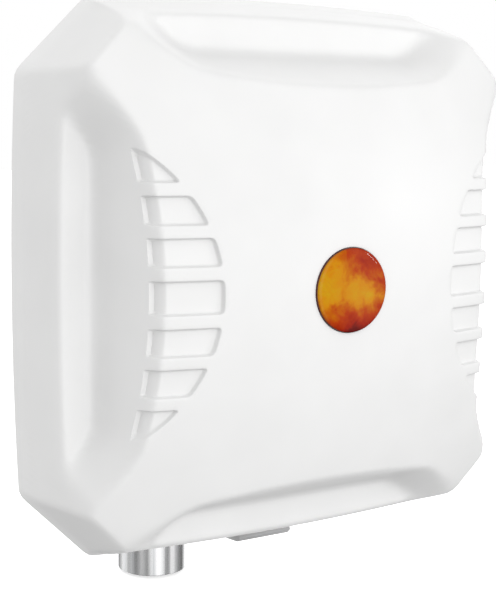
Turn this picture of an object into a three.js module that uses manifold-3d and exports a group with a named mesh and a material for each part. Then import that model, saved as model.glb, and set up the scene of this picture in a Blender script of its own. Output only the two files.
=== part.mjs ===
// Flat panel antenna on a mast: a moulded white radome with a domed, X-shaped front, its inner
// reflector and crossed feed boards, a tilting bracket and a V-jaw clamp on a round mast.
// Millimetres. +Z up, the panel faces -Y. Origin: mast axis, at the mast's lower end.

import * as THREE from "three";
import { mergeVertices } from "three/addons/utils/BufferGeometryUtils.js";
import Module from "manifold-3d";

const wasm = await Module();
wasm.setup();

// ---- driving dimensions -------------------------------------------------------------------

const GAP = 0.3;                  // clearance between pieces that touch
const RUN = 0.3;                  // radial clearance of a bolt in its hole

// mast
const MAST_R = 20;
const MAST_WALL = 2;
const MAST_TOP = 262;

// panel placement
const PANEL_Z = 186;              // height of the panel's centre
const PANEL_Y = -112;             // the panel's rear plane; "h" below is measured forward from it

// radome outline and section
const HALF_X = 130.8;             // half width and half height at the corners
const HALF_Z = 131.8;
const BOW = 2.4;                  // how far each side bows out at its middle
const CORNER_SUM = 227.2;         // |x| + |z| on the chamfered corners
const WALL = 3;
const DOME_TOP = 77.15;
const DOME_X = 0.00126;           // curvature terms of the front dome
const DOME_Z = 0.00169;
const SHELF = 29.5;               // height of the shelf in the four scoops
const SIDE_CLIMB = [[0, 0], [3.2, 6], [7.6, 23], [14.4, 44]];
const CORNER_CLIMB = [[0, 0], [2, 6], [5, 23], [9, 44]];
const BOW_SPAN = 94.7;            // where a side's bow has died away
const CREASE_FILLET = 8;          // how far each pair of faces is blended into the other
const SHOULDER_FILLET = 6.5;
const FACE_FILLET = 3.5;
const CORNER_FILLET = 6;
const LIP_INSET = 6.2;            // rebate in the rear rim for the cover
const LEDGE_INSET = 10;
const LEDGE_H = 5.3;
const BAND_H = 6;                 // the rim band's height
const INNER_START_H = 14;
const DIRECTIONS = 64;
const OUTER_STEPS = 9;
const INNER_STEPS = 7;

// ribbed pockets along the left and right of the front
const POCKET_DEPTH = 2.3;
const POCKET_ARC_R = 76;
const POCKET_INNER_X = 64.3;
const POCKET_OUTER_X = 106;
const POCKET_ROWS = [[-7.4, 7.4], [13.35, 25.7], [31.2, 43.7], [49.4, 64.2]];

// badge
const BADGE_R = 19.5;

// rear cover and what is behind it
const COVER_T = 3;
const PAD_HALF = 50;
const PAD_T = 4;
const SCREW_R = 1.7;
const POST_R = 4.5;
const SIDE_POST = 116;
const CORNER_POST = 96;

// inner pieces
const REFLECTOR_HALF = 98;
const REFLECTOR_H = 8.5;
const REFLECTOR_T = 1.5;
const BOARD_T = 1.6;
const DIRECTOR_H = 67.2;
const LEAD_R = 1.5;
const SOCKET_X = 8;

// tilting bracket
const SHEET = 3;
const EAR_IN = 40.5;
const EAR_OUT = EAR_IN + SHEET;
const PIVOT = [-66, PANEL_Z - 22];
const LOCK_R = 44;
const TILT_DOWN = 25;
const TILT_UP = 15;
const SLOT_SPARE = 2;             // degrees the arc slot runs past each limit
const BOLT_R = 4;
const BASE_HALF_Z = 44;
const BASE_SCREW = [32, 34];

// mast clamp
const FLANGE_OUT = EAR_IN - 0.5;
const WEB_Y = 33;
const CLAMP_HALF_Z = 34;
const JAW_HALF_Z = 30;
const CLAMP_BOLT_X = 28;
const CLAMP_BOLT_END = 60;
const V_APEX = 28.9;
const V_MOUTH = 9;

// ---- materials ----------------------------------------------------------------------------

const finish = (color, roughness, metalness = 0) =>
  new THREE.MeshStandardMaterial({ color, roughness, metalness });

const radomeWhite = finish(0xf1f1f0, 0.45);
const sealRubber = finish(0x2a2b2d, 0.9);
const badgeInk = finish(0xe0561c, 0.5);
const badgeResin = finish(0xf08a2a, 0.08);
const aluminium = finish(0xc6c9cc, 0.35, 0.9);
const boardGreen = finish(0x2f5c3a, 0.55);
const nylon = finish(0xe6e2d6, 0.6);
const leadJacket = finish(0x1d1e20, 0.6);
const cowlGrey = finish(0x9c9e9f, 0.55);
const nickel = finish(0xc9b98a, 0.3, 1);
const stainless = finish(0xb9bbbd, 0.3, 1);
const zinc = finish(0xc3c6c8, 0.45, 0.85);
const knobBlack = finish(0x1b1b1c, 0.6);

// ---- geometry helpers ---------------------------------------------------------------------

const object = new THREE.Group();

function add(name, geometry, material) {
  const mesh = new THREE.Mesh(geometry, material);
  mesh.name = name;
  object.add(mesh);
  return mesh;
}

function fromTriangles(points, triangles) {
  const geometry = new THREE.BufferGeometry();
  geometry.setAttribute("position", new THREE.Float32BufferAttribute(points.flat(), 3));
  geometry.setIndex(triangles.flat());
  return geometry;
}

function toSolid(geometry) {
  const bare = geometry.clone();
  bare.deleteAttribute("normal");
  bare.deleteAttribute("uv");
  const merged = mergeVertices(bare, 1e-4);
  return new wasm.Manifold(new wasm.Mesh({
    numProp: 3,
    vertProperties: new Float32Array(merged.attributes.position.array),
    triVerts: new Uint32Array(merged.index.array),
  }));
}

function toGeometry(solid) {
  const mesh = solid.getMesh();
  const geometry = new THREE.BufferGeometry();
  geometry.setAttribute("position", new THREE.BufferAttribute(mesh.vertProperties, 3));
  geometry.setIndex(new THREE.BufferAttribute(mesh.triVerts, 1));
  return geometry;
}

// Joins the first list of geometries and cuts the second list out of them.
function shaped(joined, cut = []) {
  let solid = joined.map(toSolid).reduce((a, b) => a.add(b));
  for (const tool of cut) solid = solid.subtract(toSolid(tool));
  return toGeometry(solid);
}

function block(low, high) {
  const [x0, y0, z0] = low;
  const [x1, y1, z1] = high;
  const geometry = new THREE.BoxGeometry(x1 - x0, y1 - y0, z1 - z0);
  return geometry.translate((x0 + x1) / 2, (y0 + y1) / 2, (z0 + z1) / 2);
}

const TURN = {
  X: (g) => g.rotateZ(-Math.PI / 2),
  Y: (g) => g,
  Z: (g) => g.rotateX(Math.PI / 2),
};

// A solid of revolution about the line through `at` along `axis`; profile points are
// [radius, distance along the axis].
function turned(profile, axis, at, sides = 16) {
  const points = profile.map(([r, a]) => new THREE.Vector2(r, a));
  const geometry = new THREE.LatheGeometry(points, sides);
  return TURN[axis](geometry).translate(...at);
}

const rod = (r, from, to, axis, at, sides = 12) =>
  turned([[0, from], [r, from], [r, to], [0, to]], axis, at, sides);

const washer = (r, bore, from, to, axis, at, sides = 16) =>
  turned([[bore, from], [r, from], [r, to], [bore, to], [bore, from]], axis, at, sides);

// A prism between two height functions over a flat outline of [u, v] points. `place` turns
// (u, v, height) into a position.
function prism(outline, low, high, place) {
  const flat = outline.map(([u, v]) => new THREE.Vector2(u, v));
  const ring = THREE.ShapeUtils.isClockWise(flat) ? [...outline].reverse() : outline;
  const points = [low, high].flatMap((height) =>
    ring.map(([u, v]) => place(u, v, typeof height === "function" ? height(u, v) : height)));
  const caps = THREE.ShapeUtils.triangulateShape(ring.map(([u, v]) => new THREE.Vector2(u, v)), []);
  const n = ring.length;
  const triangles = [];
  for (const [a, b, c] of caps) triangles.push([c, b, a], [a + n, b + n, c + n]);
  for (let i = 0; i < n; i++) {
    const j = (i + 1) % n;
    triangles.push([i, j, j + n], [i, j + n, i + n]);
  }
  return outward(fromTriangles(points, triangles));
}

// Flips a closed mesh whose faces point inward.
function outward(geometry) {
  const p = geometry.attributes.position;
  const index = geometry.index.array;
  const [a, b, c] = [new THREE.Vector3(), new THREE.Vector3(), new THREE.Vector3()];
  let volume = 0;
  for (let i = 0; i < index.length; i += 3) {
    a.fromBufferAttribute(p, index[i]);
    b.fromBufferAttribute(p, index[i + 1]);
    c.fromBufferAttribute(p, index[i + 2]);
    volume += a.dot(b.cross(c));
  }
  if (volume < 0) {
    for (let i = 0; i < index.length; i += 3) {
      [index[i], index[i + 1]] = [index[i + 1], index[i]];
    }
  }
  return geometry;
}

const inXZ = (x, z, h) => [x, PANEL_Y - h, PANEL_Z + z];   // outline in the panel's plane
const inXY = (x, y, z) => [x, y, z];                       // outline seen from above
const inYZ = (y, z, x) => [x, y, z];                       // outline seen from the side
const panelPoint = (x, h, z) => [x, PANEL_Y - h, PANEL_Z + z];

const hexagon = (radius) =>
  Array.from({ length: 6 }, (_, i) => [
    radius * Math.cos((i * Math.PI) / 3), radius * Math.sin((i * Math.PI) / 3),
  ]);

// ---- radome surface -----------------------------------------------------------------------

function climb(inset, knots) {
  let i = 1;
  while (i < knots.length - 1 && inset > knots[i][0]) i++;
  const [x0, y0] = knots[i - 1];
  const [x1, y1] = knots[i];
  return y0 + ((inset - x0) * (y1 - y0)) / (x1 - x0);
}

const softMin = (a, b, k) => Math.min(a, b) - Math.max(k - Math.abs(a - b), 0) ** 2 / (4 * k);
const softMax = (a, b, k) => -softMin(-a, -b, k);

function softRamp(x, w) {
  if (x < -w) return 0;
  return x > w ? x : (x + w) ** 2 / (4 * w);
}

const faceEdge = (s) => 92.3 + (s * s) / 850 + 0.5 * softRamp(s - 70, 8);
const creaseLine = (s) => 107.1 + 0.76 * softRamp(s - 64, 8);
const dome = (x, z) => DOME_TOP - DOME_X * x * x - DOME_Z * z * z;

// Height of the radome's surface, offset inward by `wall`, over the point (x, z) of the panel.
function frontHeight(x, z, wall = 0) {
  const d = Math.max(Math.abs(x), Math.abs(z));
  const s = Math.min(Math.abs(x), Math.abs(z));
  const bow = BOW * (1 - (s / BOW_SPAN) ** 2);
  const upright = THREE.MathUtils.clamp((Math.abs(z) - Math.abs(x)) / 60 + 0.5, 0, 1);
  const half = HALF_X + (HALF_Z - HALF_X) * upright;
  const side = climb(half + bow - wall - d, SIDE_CLIMB);
  const corner = climb((CORNER_SUM - s - d) / Math.SQRT2 - wall, CORNER_CLIMB);
  const edge = faceEdge(s);
  const crease = creaseLine(s);
  const edgeHeight = Math.abs(x) > Math.abs(z) ? dome(edge, s) : dome(s, edge);
  const rise = (crease - d - 1.07 * wall) / (crease - edge);
  const innerWall = SHELF + rise * (edgeHeight - SHELF);
  const scoop = softMax(SHELF - wall, innerWall, CREASE_FILLET);
  const flank = softMin(side, scoop, SHOULDER_FILLET);
  const face = softMin(flank, dome(x, z) - wall, FACE_FILLET);
  return softMin(face, corner, CORNER_FILLET);
}

// Distance from the panel's centre, in direction `angle`, at which the surface has height h.
function contour(angle, wall, h) {
  let low = 60;
  let high = 190;
  for (let i = 0; i < 40; i++) {
    const r = (low + high) / 2;
    if (frontHeight(r * Math.cos(angle), r * Math.sin(angle), wall) > h) low = r;
    else high = r;
  }
  return low;
}

const angleOf = (i) => (i * 2 * Math.PI) / DIRECTIONS;
const outlineAt = (wall) =>
  Array.from({ length: DIRECTIONS }, (_, i) => {
    const r = contour(angleOf(i), wall, 0);
    return [r * Math.cos(angleOf(i)), r * Math.sin(angleOf(i))];
  });

// Points of the surface's section along one direction: evenly spaced up the side from
// startHeight, then two on the dome.
function section(angle, wall, startHeight, steps) {
  const start = contour(angle, wall, startHeight);
  const fine = [];
  for (let i = 0; i <= 400; i++) {
    const r = start - (i * (start - 80)) / 400;
    fine.push([r, frontHeight(r * Math.cos(angle), r * Math.sin(angle), wall)]);
  }
  fine[0][1] = startHeight;
  const travel = [0];
  for (let i = 1; i < fine.length; i++) {
    travel.push(travel[i - 1] + Math.hypot(fine[i][0] - fine[i - 1][0], fine[i][1] - fine[i - 1][1]));
  }
  const points = [];
  for (let k = 0; k < steps; k++) {
    const goal = (k * travel.at(-1)) / (steps - 1);
    points.push(fine[Math.max(0, travel.findIndex((t) => t >= goal - 1e-6))]);
  }
  for (const r of [54, 27]) {
    points.push([r, frontHeight(r * Math.cos(angle), r * Math.sin(angle), wall)]);
  }
  return points;
}

function radomeShell() {
  const rings = [];
  for (let i = 0; i < DIRECTIONS; i++) {
    const angle = angleOf(i);
    const lip = contour(angle, LIP_INSET, 0);
    const ledge = contour(angle, LEDGE_INSET, 0);
    const profile = [
      ...section(angle, 0, BAND_H, OUTER_STEPS).reverse(),
      [contour(angle, 0, 0), 0], [lip, 0], [lip, LEDGE_H], [ledge, LEDGE_H],
      ...section(angle, WALL, INNER_START_H, INNER_STEPS),
    ];
    rings.push(profile.map(([r, h]) => panelPoint(r * Math.cos(angle), h, r * Math.sin(angle))));
  }
  const steps = rings[0].length;
  const points = rings.flat();
  const outerPole = points.push(panelPoint(0, DOME_TOP, 0)) - 1;
  const innerPole = points.push(panelPoint(0, DOME_TOP - WALL, 0)) - 1;
  const triangles = [];
  for (let i = 0; i < DIRECTIONS; i++) {
    const a = i * steps;
    const b = ((i + 1) % DIRECTIONS) * steps;
    triangles.push([outerPole, a, b], [innerPole, b + steps - 1, a + steps - 1]);
    for (let k = 0; k < steps - 1; k++) {
      triangles.push([a + k, a + k + 1, b + k + 1], [a + k, b + k + 1, b + k]);
    }
  }
  return outward(fromTriangles(points, triangles));
}

// ---- radome, cover, seal and their screws -------------------------------------------------

const postPlaces = [];
for (const [sx, sz] of [[1, 0], [-1, 0], [0, 1], [0, -1]]) {
  postPlaces.push([sx * SIDE_POST, sz * SIDE_POST]);
}
for (const [sx, sz] of [[1, 1], [-1, 1], [1, -1], [-1, -1]]) {
  postPlaces.push([sx * CORNER_POST, sz * CORNER_POST]);
}

function pocketOutline(side, low, high) {
  const arcCentre = POCKET_INNER_X + POCKET_ARC_R;
  const inner = [];
  for (let i = 0; i <= 4; i++) {
    const z = low + ((high - low) * i) / 4;
    inner.push([side * (arcCentre - Math.sqrt(POCKET_ARC_R ** 2 - z * z)), z]);
  }
  return [...inner, [side * POCKET_OUTER_X, high], [side * POCKET_OUTER_X, low]];
}

function pocketTools() {
  const rows = POCKET_ROWS.flatMap(([low, high]) =>
    low < 0 ? [[low, high]] : [[low, high], [-high, -low]]);
  return rows.flatMap(([low, high]) => [-1, 1].map((side) =>
    prism(pocketOutline(side, low, high), (x, z) => dome(x, z) - POCKET_DEPTH, 90, inXZ)));
}

function makeRadome() {
  const posts = postPlaces.map(([x, z]) =>
    rod(POST_R, 0, frontHeight(x, z, WALL / 2) - COVER_T - GAP, "Y",
      [0, 0, 0], 10).rotateX(Math.PI).translate(...panelPoint(x, COVER_T + GAP, z)));
  const pilots = postPlaces.map(([x, z]) =>
    rod(SCREW_R + 0.2, -13.5, 1, "Y", panelPoint(x, COVER_T, z), 10));
  const badgeSeat = rod(BADGE_R + 0.4, -10, 0, "Y", panelPoint(0, 75.6, 0), 32);
  add("front_radome", shaped([radomeShell(), ...posts],
    [...pilots, badgeSeat, ...pocketTools()]), radomeWhite);
}

function makeBadge() {
  add("badge_disc", rod(BADGE_R, -1.1, 0, "Y", panelPoint(0, 75.9, 0), 32), badgeInk);
  const lens = [[0, 0], [BADGE_R, 0], [BADGE_R, -0.6], [BADGE_R - 1.6, -1.3], [10, -1.6], [0, -1.7]];
  add("badge_dome", turned(lens.reverse(), "Y", panelPoint(0, 77.3, 0), 32), badgeResin);
}

function makeCover() {
  const plate = prism(outlineAt(LIP_INSET + 0.4), 0, COVER_T, inXZ);
  const pad = block(panelPoint(-PAD_HALF, 0.5, -PAD_HALF), panelPoint(PAD_HALF, -PAD_T, PAD_HALF));
  const ribs = [];
  for (const offset of [-42, 0, 42]) {
    for (const sign of [-1, 1]) {
      const [near, far] = [sign * (PAD_HALF - 1), sign * 108];
      const [low, high] = [Math.min(near, far), Math.max(near, far)];
      ribs.push(block(panelPoint(low, 0.5, offset - 1.5), panelPoint(high, -PAD_T + 1, offset + 1.5)));
      if (offset === 0 && sign < 0) continue;
      ribs.push(block(panelPoint(offset - 1.5, 0.5, low), panelPoint(offset + 1.5, -PAD_T + 1, high)));
    }
  }
  const holes = postPlaces.map(([x, z]) => rod(SCREW_R + RUN, -8, 8, "Y", panelPoint(x, 0, z), 10));
  for (const x of [-BASE_SCREW[0], BASE_SCREW[0]]) {
    for (const z of [-BASE_SCREW[1], BASE_SCREW[1]]) {
      holes.push(rod(2.5 + RUN, -4, 8, "Y", panelPoint(x, 0, z), 10));
    }
    holes.push(rod(LEAD_R + 2, -8, 8, "Y", panelPoint(Math.sign(x) * SOCKET_X, 0, -112), 10));
  }
  add("rear_cover", shaped([plate, pad, ...ribs], holes), radomeWhite);
}

function makeSeal() {
  const ring = prism(outlineAt(LIP_INSET + 0.4), COVER_T + GAP, LEDGE_H - GAP, inXZ);
  const middle = prism(outlineAt(LEDGE_INSET - 0.6), 0, 20, inXZ);
  add("radome_seal", shaped([ring], [middle]), sealRubber);
}

function panHead(shankR, headR, headT, length) {
  return [[0, -length], [shankR, -length], [shankR, 0], [headR, 0], [headR, headT * 0.5],
    [headR * 0.7, headT], [0, headT]];
}

function makeCoverScrews() {
  postPlaces.forEach(([x, z], i) => {
    const profile = panHead(SCREW_R, 3.4, 2, 11);
    add(`cover_screw_${i + 1}`, turned(profile, "Y", panelPoint(x, -GAP, z), 10), stainless);
  });
}

// ---- inner pieces -------------------------------------------------------------------------

const standoffPlaces = [[60, 0], [-60, 0], [0, 60], [0, -60]];

function makeReflector() {
  const outline = [];
  const cut = 22;
  for (const [sx, sz, flip] of [[1, 1, 0], [-1, 1, 1], [-1, -1, 0], [1, -1, 1]]) {
    const pair = [[sx * REFLECTOR_HALF, sz * (REFLECTOR_HALF - cut)],
      [sx * (REFLECTOR_HALF - cut), sz * REFLECTOR_HALF]];
    outline.push(...(flip ? pair.reverse() : pair));
  }
  const sheet = prism(outline, REFLECTOR_H, REFLECTOR_H + REFLECTOR_T, inXZ);
  const rims = [];
  const rim = REFLECTOR_HALF - cut - 2;
  for (const sign of [-1, 1]) {
    const [near, far] = [sign * (REFLECTOR_HALF - REFLECTOR_T), sign * REFLECTOR_HALF];
    const [low, high] = [Math.min(near, far), Math.max(near, far)];
    rims.push(block(panelPoint(low, REFLECTOR_H + 9, -rim), panelPoint(high, REFLECTOR_H, rim)));
    rims.push(block(panelPoint(-rim, REFLECTOR_H + 9, low), panelPoint(rim, REFLECTOR_H, high)));
  }
  const holes = standoffPlaces.map(([x, z]) => rod(1.8, -15, 0, "Y", panelPoint(x, 0, z), 10));
  add("reflector_plate", shaped([sheet, ...rims], holes), aluminium);
}


// Each standoff rests on the cover, shoulders the reflector and is riveted through it.
function makeStandoffs() {
  const profile = [[0, 0], [4, 0], [4, -4.9], [1.5, -4.9], [1.5, -7.3], [0, -7.3]].reverse();
  standoffPlaces.forEach(([x, z], i) => {
    add(`reflector_standoff_${i + 1}`, turned(profile, "Y", panelPoint(x, 3.3, z), 12), nylon);
  });
}

// Two feed boards cross on the diagonals; each is slotted half way where they meet.
function makeFeedBoards() {
  const base = REFLECTOR_H + REFLECTOR_T + GAP;
  const outline = [[-112, base], [112, base], [112, 40], [46, 66.5], [-46, 66.5], [-112, 40]];
  const slots = { plus: [base - 1, 38.3], minus: [37.7, 70] };
  const tilts = { plus: 45, minus: -45 };
  for (const name of ["plus", "minus"]) {
    const flat = (u, h, t) => [u, -h, t];
    const board = prism(outline, -BOARD_T / 2, BOARD_T / 2, flat);
    const slotHalf = BOARD_T / 2 + GAP;
    const slot = block([-slotHalf, -slots[name][1], -5], [slotHalf, -slots[name][0], 5]);
    const tilt = THREE.MathUtils.degToRad(tilts[name]);
    const geometry = shaped([board], [slot]).rotateY(tilt).translate(...panelPoint(0, 0, 0));
    add(`feed_board_${name}`, geometry, boardGreen);
  }
}

function makeDirector() {
  const half = 30;
  const outline = [[-half, -half], [half, -half], [half, half], [-half, half]];
  add("director_plate", prism(outline, DIRECTOR_H, DIRECTOR_H + 1.2, inXZ), aluminium);
}

function makeLeads() {
  const circle = new THREE.Shape();
  circle.absarc(0, 0, LEAD_R, 0, 2 * Math.PI);
  for (const [name, sign] of [["left", -1], ["right", 1]]) {
    const route = [[8, 5.75, -16], [8, 5.75, -50], [8, 5.75, -80], [8, 5.75, -99], [8, 5.6, -105],
      [8, 4.3, -109.8], [8, 1.5, -111.8], [8, -3, -112], [8, -9, -112]];
    const path = new THREE.CatmullRomCurve3(route.map(([x, h, z]) =>
      new THREE.Vector3(...panelPoint(sign * x, h, z))));
    const geometry = new THREE.ExtrudeGeometry(circle, {
      extrudePath: path, steps: 22, curveSegments: 4,
    });
    add(`coax_lead_${name}`, mergedGeometry(geometry), leadJacket);
  }
}

function mergedGeometry(geometry) {
  geometry.deleteAttribute("normal");
  geometry.deleteAttribute("uv");
  return mergeVertices(geometry, 1e-4);
}

// ---- socket cowl at the lower edge --------------------------------------------------------

const COWL_BACK = -16;            // how far behind the rear plane the cowl reaches
const COWL_HALF = 15.5;
const COWL_TOP = -100;
const COWL_FOOT = -137.2;
const COWL_WALL = 2.1;
const SOCKET_Z = -112;
const SOCKET_R = 4.6;

function makeCowl() {
  const side = [[COWL_BACK, COWL_FOOT + 2], [COWL_BACK, COWL_TOP], [-GAP, COWL_TOP],
    [-GAP, -134.7], [6, -131.9], [8, -131.4], [9, -133.6], [6.5, -135.8], [-2, -136.6],
    [COWL_BACK + 2, COWL_FOOT]];
  const place = (h, z, x) => panelPoint(x, h, z);
  const body = prism(side, -COWL_HALF, COWL_HALF, place);
  const inner = COWL_HALF - COWL_WALL;
  const hollow = block(panelPoint(-inner, 0, -127),
    panelPoint(inner, COWL_BACK + COWL_WALL, COWL_TOP - COWL_WALL));
  const holes = [-SOCKET_X, SOCKET_X].map((x) =>
    rod(SOCKET_R + RUN, 10, 25, "Y", panelPoint(x, 0, SOCKET_Z), 16));
  const ends = [-1, 1].map((sign) =>
    block([-6, -40, -12], [6, 40, 12]).rotateY(sign * Math.PI / 5)
      .translate(...panelPoint(sign * (COWL_HALF + 6.4), 0, COWL_FOOT - 6)));
  add("socket_cowl", shaped([body], [hollow, ...holes, ...ends]), cowlGrey);
}

function makeSockets() {
  const profile = [[0, 9.3], [2, 9.3], [2, 11.3], [5.1, 11.3], [5.1, 13.2], [SOCKET_R, 13.2], [SOCKET_R, 30],
    [3.4, 30], [3.4, 22], [0.7, 22], [0.7, 28], [0, 28]];
  const nut = hexagon(7.4);
  for (const [name, sign] of [["left", -1], ["right", 1]]) {
    const x = sign * SOCKET_X;
    add(`coax_socket_${name}`, turned(profile, "Y", panelPoint(x, 0, SOCKET_Z), 16), nickel);
    const body = prism(nut.map(([u, v]) => [u + x, v + SOCKET_Z]), -19.4, -16.3, inXZ);
    const bore = rod(SOCKET_R + RUN, 15, 21, "Y", panelPoint(x, 0, SOCKET_Z), 16);
    add(`socket_nut_${name}`, shaped([body], [bore]), nickel);
  }
}

function makeBreather() {
  const profile = [[0, 0], [7, 0], [7, 1.6], [5.6, 2.8], [0, 2.8]];
  add("breather_plug", turned(profile, "Y", panelPoint(-72, -GAP, -72), 20), cowlGrey);
}

// ---- tilting bracket ----------------------------------------------------------------------

const lockPoint = (degrees, radius = LOCK_R) => {
  const a = THREE.MathUtils.degToRad(degrees);
  return [PIVOT[0] + radius * Math.sin(a), PIVOT[1] + radius * Math.cos(a)];
};

// Points round the end of the arc slot at `degrees`; `way` is +1 at its far end, -1 at its near.
function slotEnd(degrees, way, half) {
  const a = THREE.MathUtils.degToRad(degrees);
  const [y, z] = lockPoint(degrees);
  return [30, 60, 90, 120, 150].map((turn) => {
    const t = THREE.MathUtils.degToRad(turn);
    const out = way * half * Math.cos(t);
    const along = way * half * Math.sin(t);
    return [y + out * Math.sin(a) + along * Math.cos(a), z + out * Math.cos(a) - along * Math.sin(a)];
  });
}

function arcSlot() {
  const half = BOLT_R + RUN;
  const [from, to] = [-TILT_UP - SLOT_SPARE, TILT_DOWN + SLOT_SPARE];
  const stations = Array.from({ length: 7 }, (_, i) => from + ((to - from) * i) / 6);
  const outline = [
    ...stations.map((degrees) => lockPoint(degrees, LOCK_R + half)),
    ...slotEnd(to, 1, half),
    ...stations.reverse().map((degrees) => lockPoint(degrees, LOCK_R - half)),
    ...slotEnd(from, -1, half),
  ];
  return prism(outline, -60, 60, inYZ);
}

const BASE_Y = PANEL_Y + PAD_T + GAP;

function makePanelBracket() {
  const base = block([-EAR_OUT, BASE_Y, PANEL_Z - BASE_HALF_Z],
    [EAR_OUT, BASE_Y + SHEET, PANEL_Z + BASE_HALF_Z]);
  const ear = [[BASE_Y, PANEL_Z - BASE_HALF_Z], [BASE_Y, PANEL_Z + BASE_HALF_Z],
    [-84, PANEL_Z + 37], [-56, PANEL_Z + 33], [-38, PANEL_Z + 24], [-34, PANEL_Z + 14],
    [-38, PANEL_Z + 6], [-53, PANEL_Z - 16], [-55, PANEL_Z - 29], [-64, PANEL_Z - 35],
    [-76, PANEL_Z - 36]];
  const ears = [prism(ear, EAR_IN, EAR_OUT, inYZ), prism(ear, -EAR_OUT, -EAR_IN, inYZ)];
  const holes = [rod(BOLT_R + RUN, -60, 60, "X", [0, ...PIVOT], 16), arcSlot()];
  for (const x of [-BASE_SCREW[0], BASE_SCREW[0]]) {
    for (const z of [-BASE_SCREW[1], BASE_SCREW[1]]) {
      holes.push(rod(2.5 + RUN, -8, 8, "Y", [x, BASE_Y, PANEL_Z + z], 12));
    }
  }
  add("panel_bracket", shaped([base, ...ears], holes), zinc);
}

function makeBracketScrews() {
  let count = 0;
  for (const x of [-BASE_SCREW[0], BASE_SCREW[0]]) {
    for (const z of [-BASE_SCREW[1], BASE_SCREW[1]]) {
      const at = [x, BASE_Y + SHEET + GAP, PANEL_Z + z];
      count += 1;
      add(`bracket_screw_${count}`, turned(panHead(2.5, 4.8, 3, 10), "Y", at, 12), stainless);
    }
  }
}

function hexBolt(name, radius, headT, length, axis, at, sign) {
  const head = prism(hexagon(7.4), 0, headT, inXY);
  const shank = turned([[0, -length], [radius - 0.8, -length], [radius, -length + 0.8],
    [radius, 0.4], [0, 0.4]], "Y", [0, 0, 0], 16).rotateX(Math.PI / 2);
  const bolt = shaped([head, shank]);
  if (axis === "X") bolt.rotateY((sign * Math.PI) / 2);
  else bolt.rotateX((-sign * Math.PI) / 2);
  add(name, bolt.translate(...at), stainless);
}

function hexNut(name, from, to, axis, at) {
  const body = prism(hexagon(7.4), from, to, inXY);
  const bore = rod(BOLT_R + RUN, from - 1, to + 1, "Z", [0, 0, 0], 16);
  const geometry = shaped([body], [bore]);
  if (axis === "X") geometry.rotateY(Math.PI / 2);
  else geometry.rotateX(-Math.PI / 2);
  add(name, geometry.translate(...at), stainless);
}

function makeTiltBolts() {
  const lock = [PIVOT[0], PIVOT[1] + LOCK_R];
  const washerIn = EAR_OUT + GAP;
  const washerOut = washerIn + 1.6;
  for (const [name, at] of [["pivot", PIVOT], ["lock", lock]]) {
    hexBolt(`${name}_bolt`, BOLT_R, 5.3, 2 * washerOut + 10.5, "X", [-washerOut - GAP, ...at], -1);
    add(`${name}_washer_left`, washer(8, BOLT_R + RUN, -washerOut, -washerIn, "X", [0, ...at]), zinc);
    add(`${name}_washer_right`, washer(8, BOLT_R + RUN, washerIn, washerOut, "X", [0, ...at]), zinc);
  }
  hexNut("pivot_nut", washerOut + GAP, washerOut + GAP + 6.5, "X", [0, ...PIVOT]);
  makeLockKnob(lock, washerOut + GAP);
}

function makeLockKnob(at, from) {
  const outline = [];
  for (let i = 0; i < 30; i++) {
    const a = (i * 2 * Math.PI) / 30;
    const r = 13.5 + 2 * Math.cos(5 * a);
    outline.push([r * Math.cos(a), r * Math.sin(a)]);
  }
  const grip = prism(outline, from + 3, from + 13, inYZ).translate(0, ...at);
  const collar = rod(8, from, from + 4, "X", [0, ...at], 20);
  const bore = rod(BOLT_R + RUN, 0, from + 11, "X", [0, ...at], 16);
  add("lock_knob", shaped([grip, collar], [bore]), knobBlack);
}

// ---- mast clamp ---------------------------------------------------------------------------

// A channel with V-notched plates across its ends; `side` is -1 in front of the mast, +1 behind.
function vPlates(side, halfWidth, halfHeight) {
  const outline = [[-halfWidth, WEB_Y + 1], [halfWidth, WEB_Y + 1], [halfWidth, V_MOUTH],
    [V_APEX - V_MOUTH, V_MOUTH], [0, V_APEX], [-(V_APEX - V_MOUTH), V_MOUTH], [-halfWidth, V_MOUTH]]
    .map(([x, y]) => [x, side * y]);
  const ends = [[-halfHeight, -halfHeight + SHEET], [halfHeight - SHEET, halfHeight]];
  return ends.map(([low, high]) => prism(outline, PANEL_Z + low, PANEL_Z + high, inXY));
}

const clampBoltHoles = (side) => [-CLAMP_BOLT_X, CLAMP_BOLT_X].map((x) =>
  rod(BOLT_R + RUN, WEB_Y - 2, WEB_Y + SHEET + 2, "Y", [0, 0, 0], 16)
    .rotateX(side < 0 ? Math.PI : 0).translate(x, 0, PANEL_Z));

function makeClampBracket() {
  const low = PANEL_Z - CLAMP_HALF_Z;
  const high = PANEL_Z + CLAMP_HALF_Z;
  const web = block([-FLANGE_OUT, -WEB_Y - SHEET, low], [FLANGE_OUT, -WEB_Y, high]);
  const flangeSide = [[-WEB_Y, low], [-WEB_Y, high], [-72, high], [-79, high - 8],
    [-79, low + 8], [-72, low]];
  const flanges = [prism(flangeSide, FLANGE_OUT - SHEET, FLANGE_OUT, inYZ),
    prism(flangeSide, -FLANGE_OUT, SHEET - FLANGE_OUT, inYZ)];
  const holes = [PIVOT, [PIVOT[0], PIVOT[1] + LOCK_R]].map((at) =>
    rod(BOLT_R + RUN, -60, 60, "X", [0, ...at], 16));
  add("clamp_bracket", shaped([web, ...flanges, ...vPlates(-1, 34, CLAMP_HALF_Z)],
    [...holes, ...clampBoltHoles(-1)]), zinc);
}

function makeClampJaw() {
  const web = block([-38, WEB_Y, PANEL_Z - JAW_HALF_Z], [38, WEB_Y + SHEET, PANEL_Z + JAW_HALF_Z]);
  add("clamp_jaw", shaped([web, ...vPlates(1, 34, JAW_HALF_Z)], clampBoltHoles(1)), zinc);
}

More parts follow.
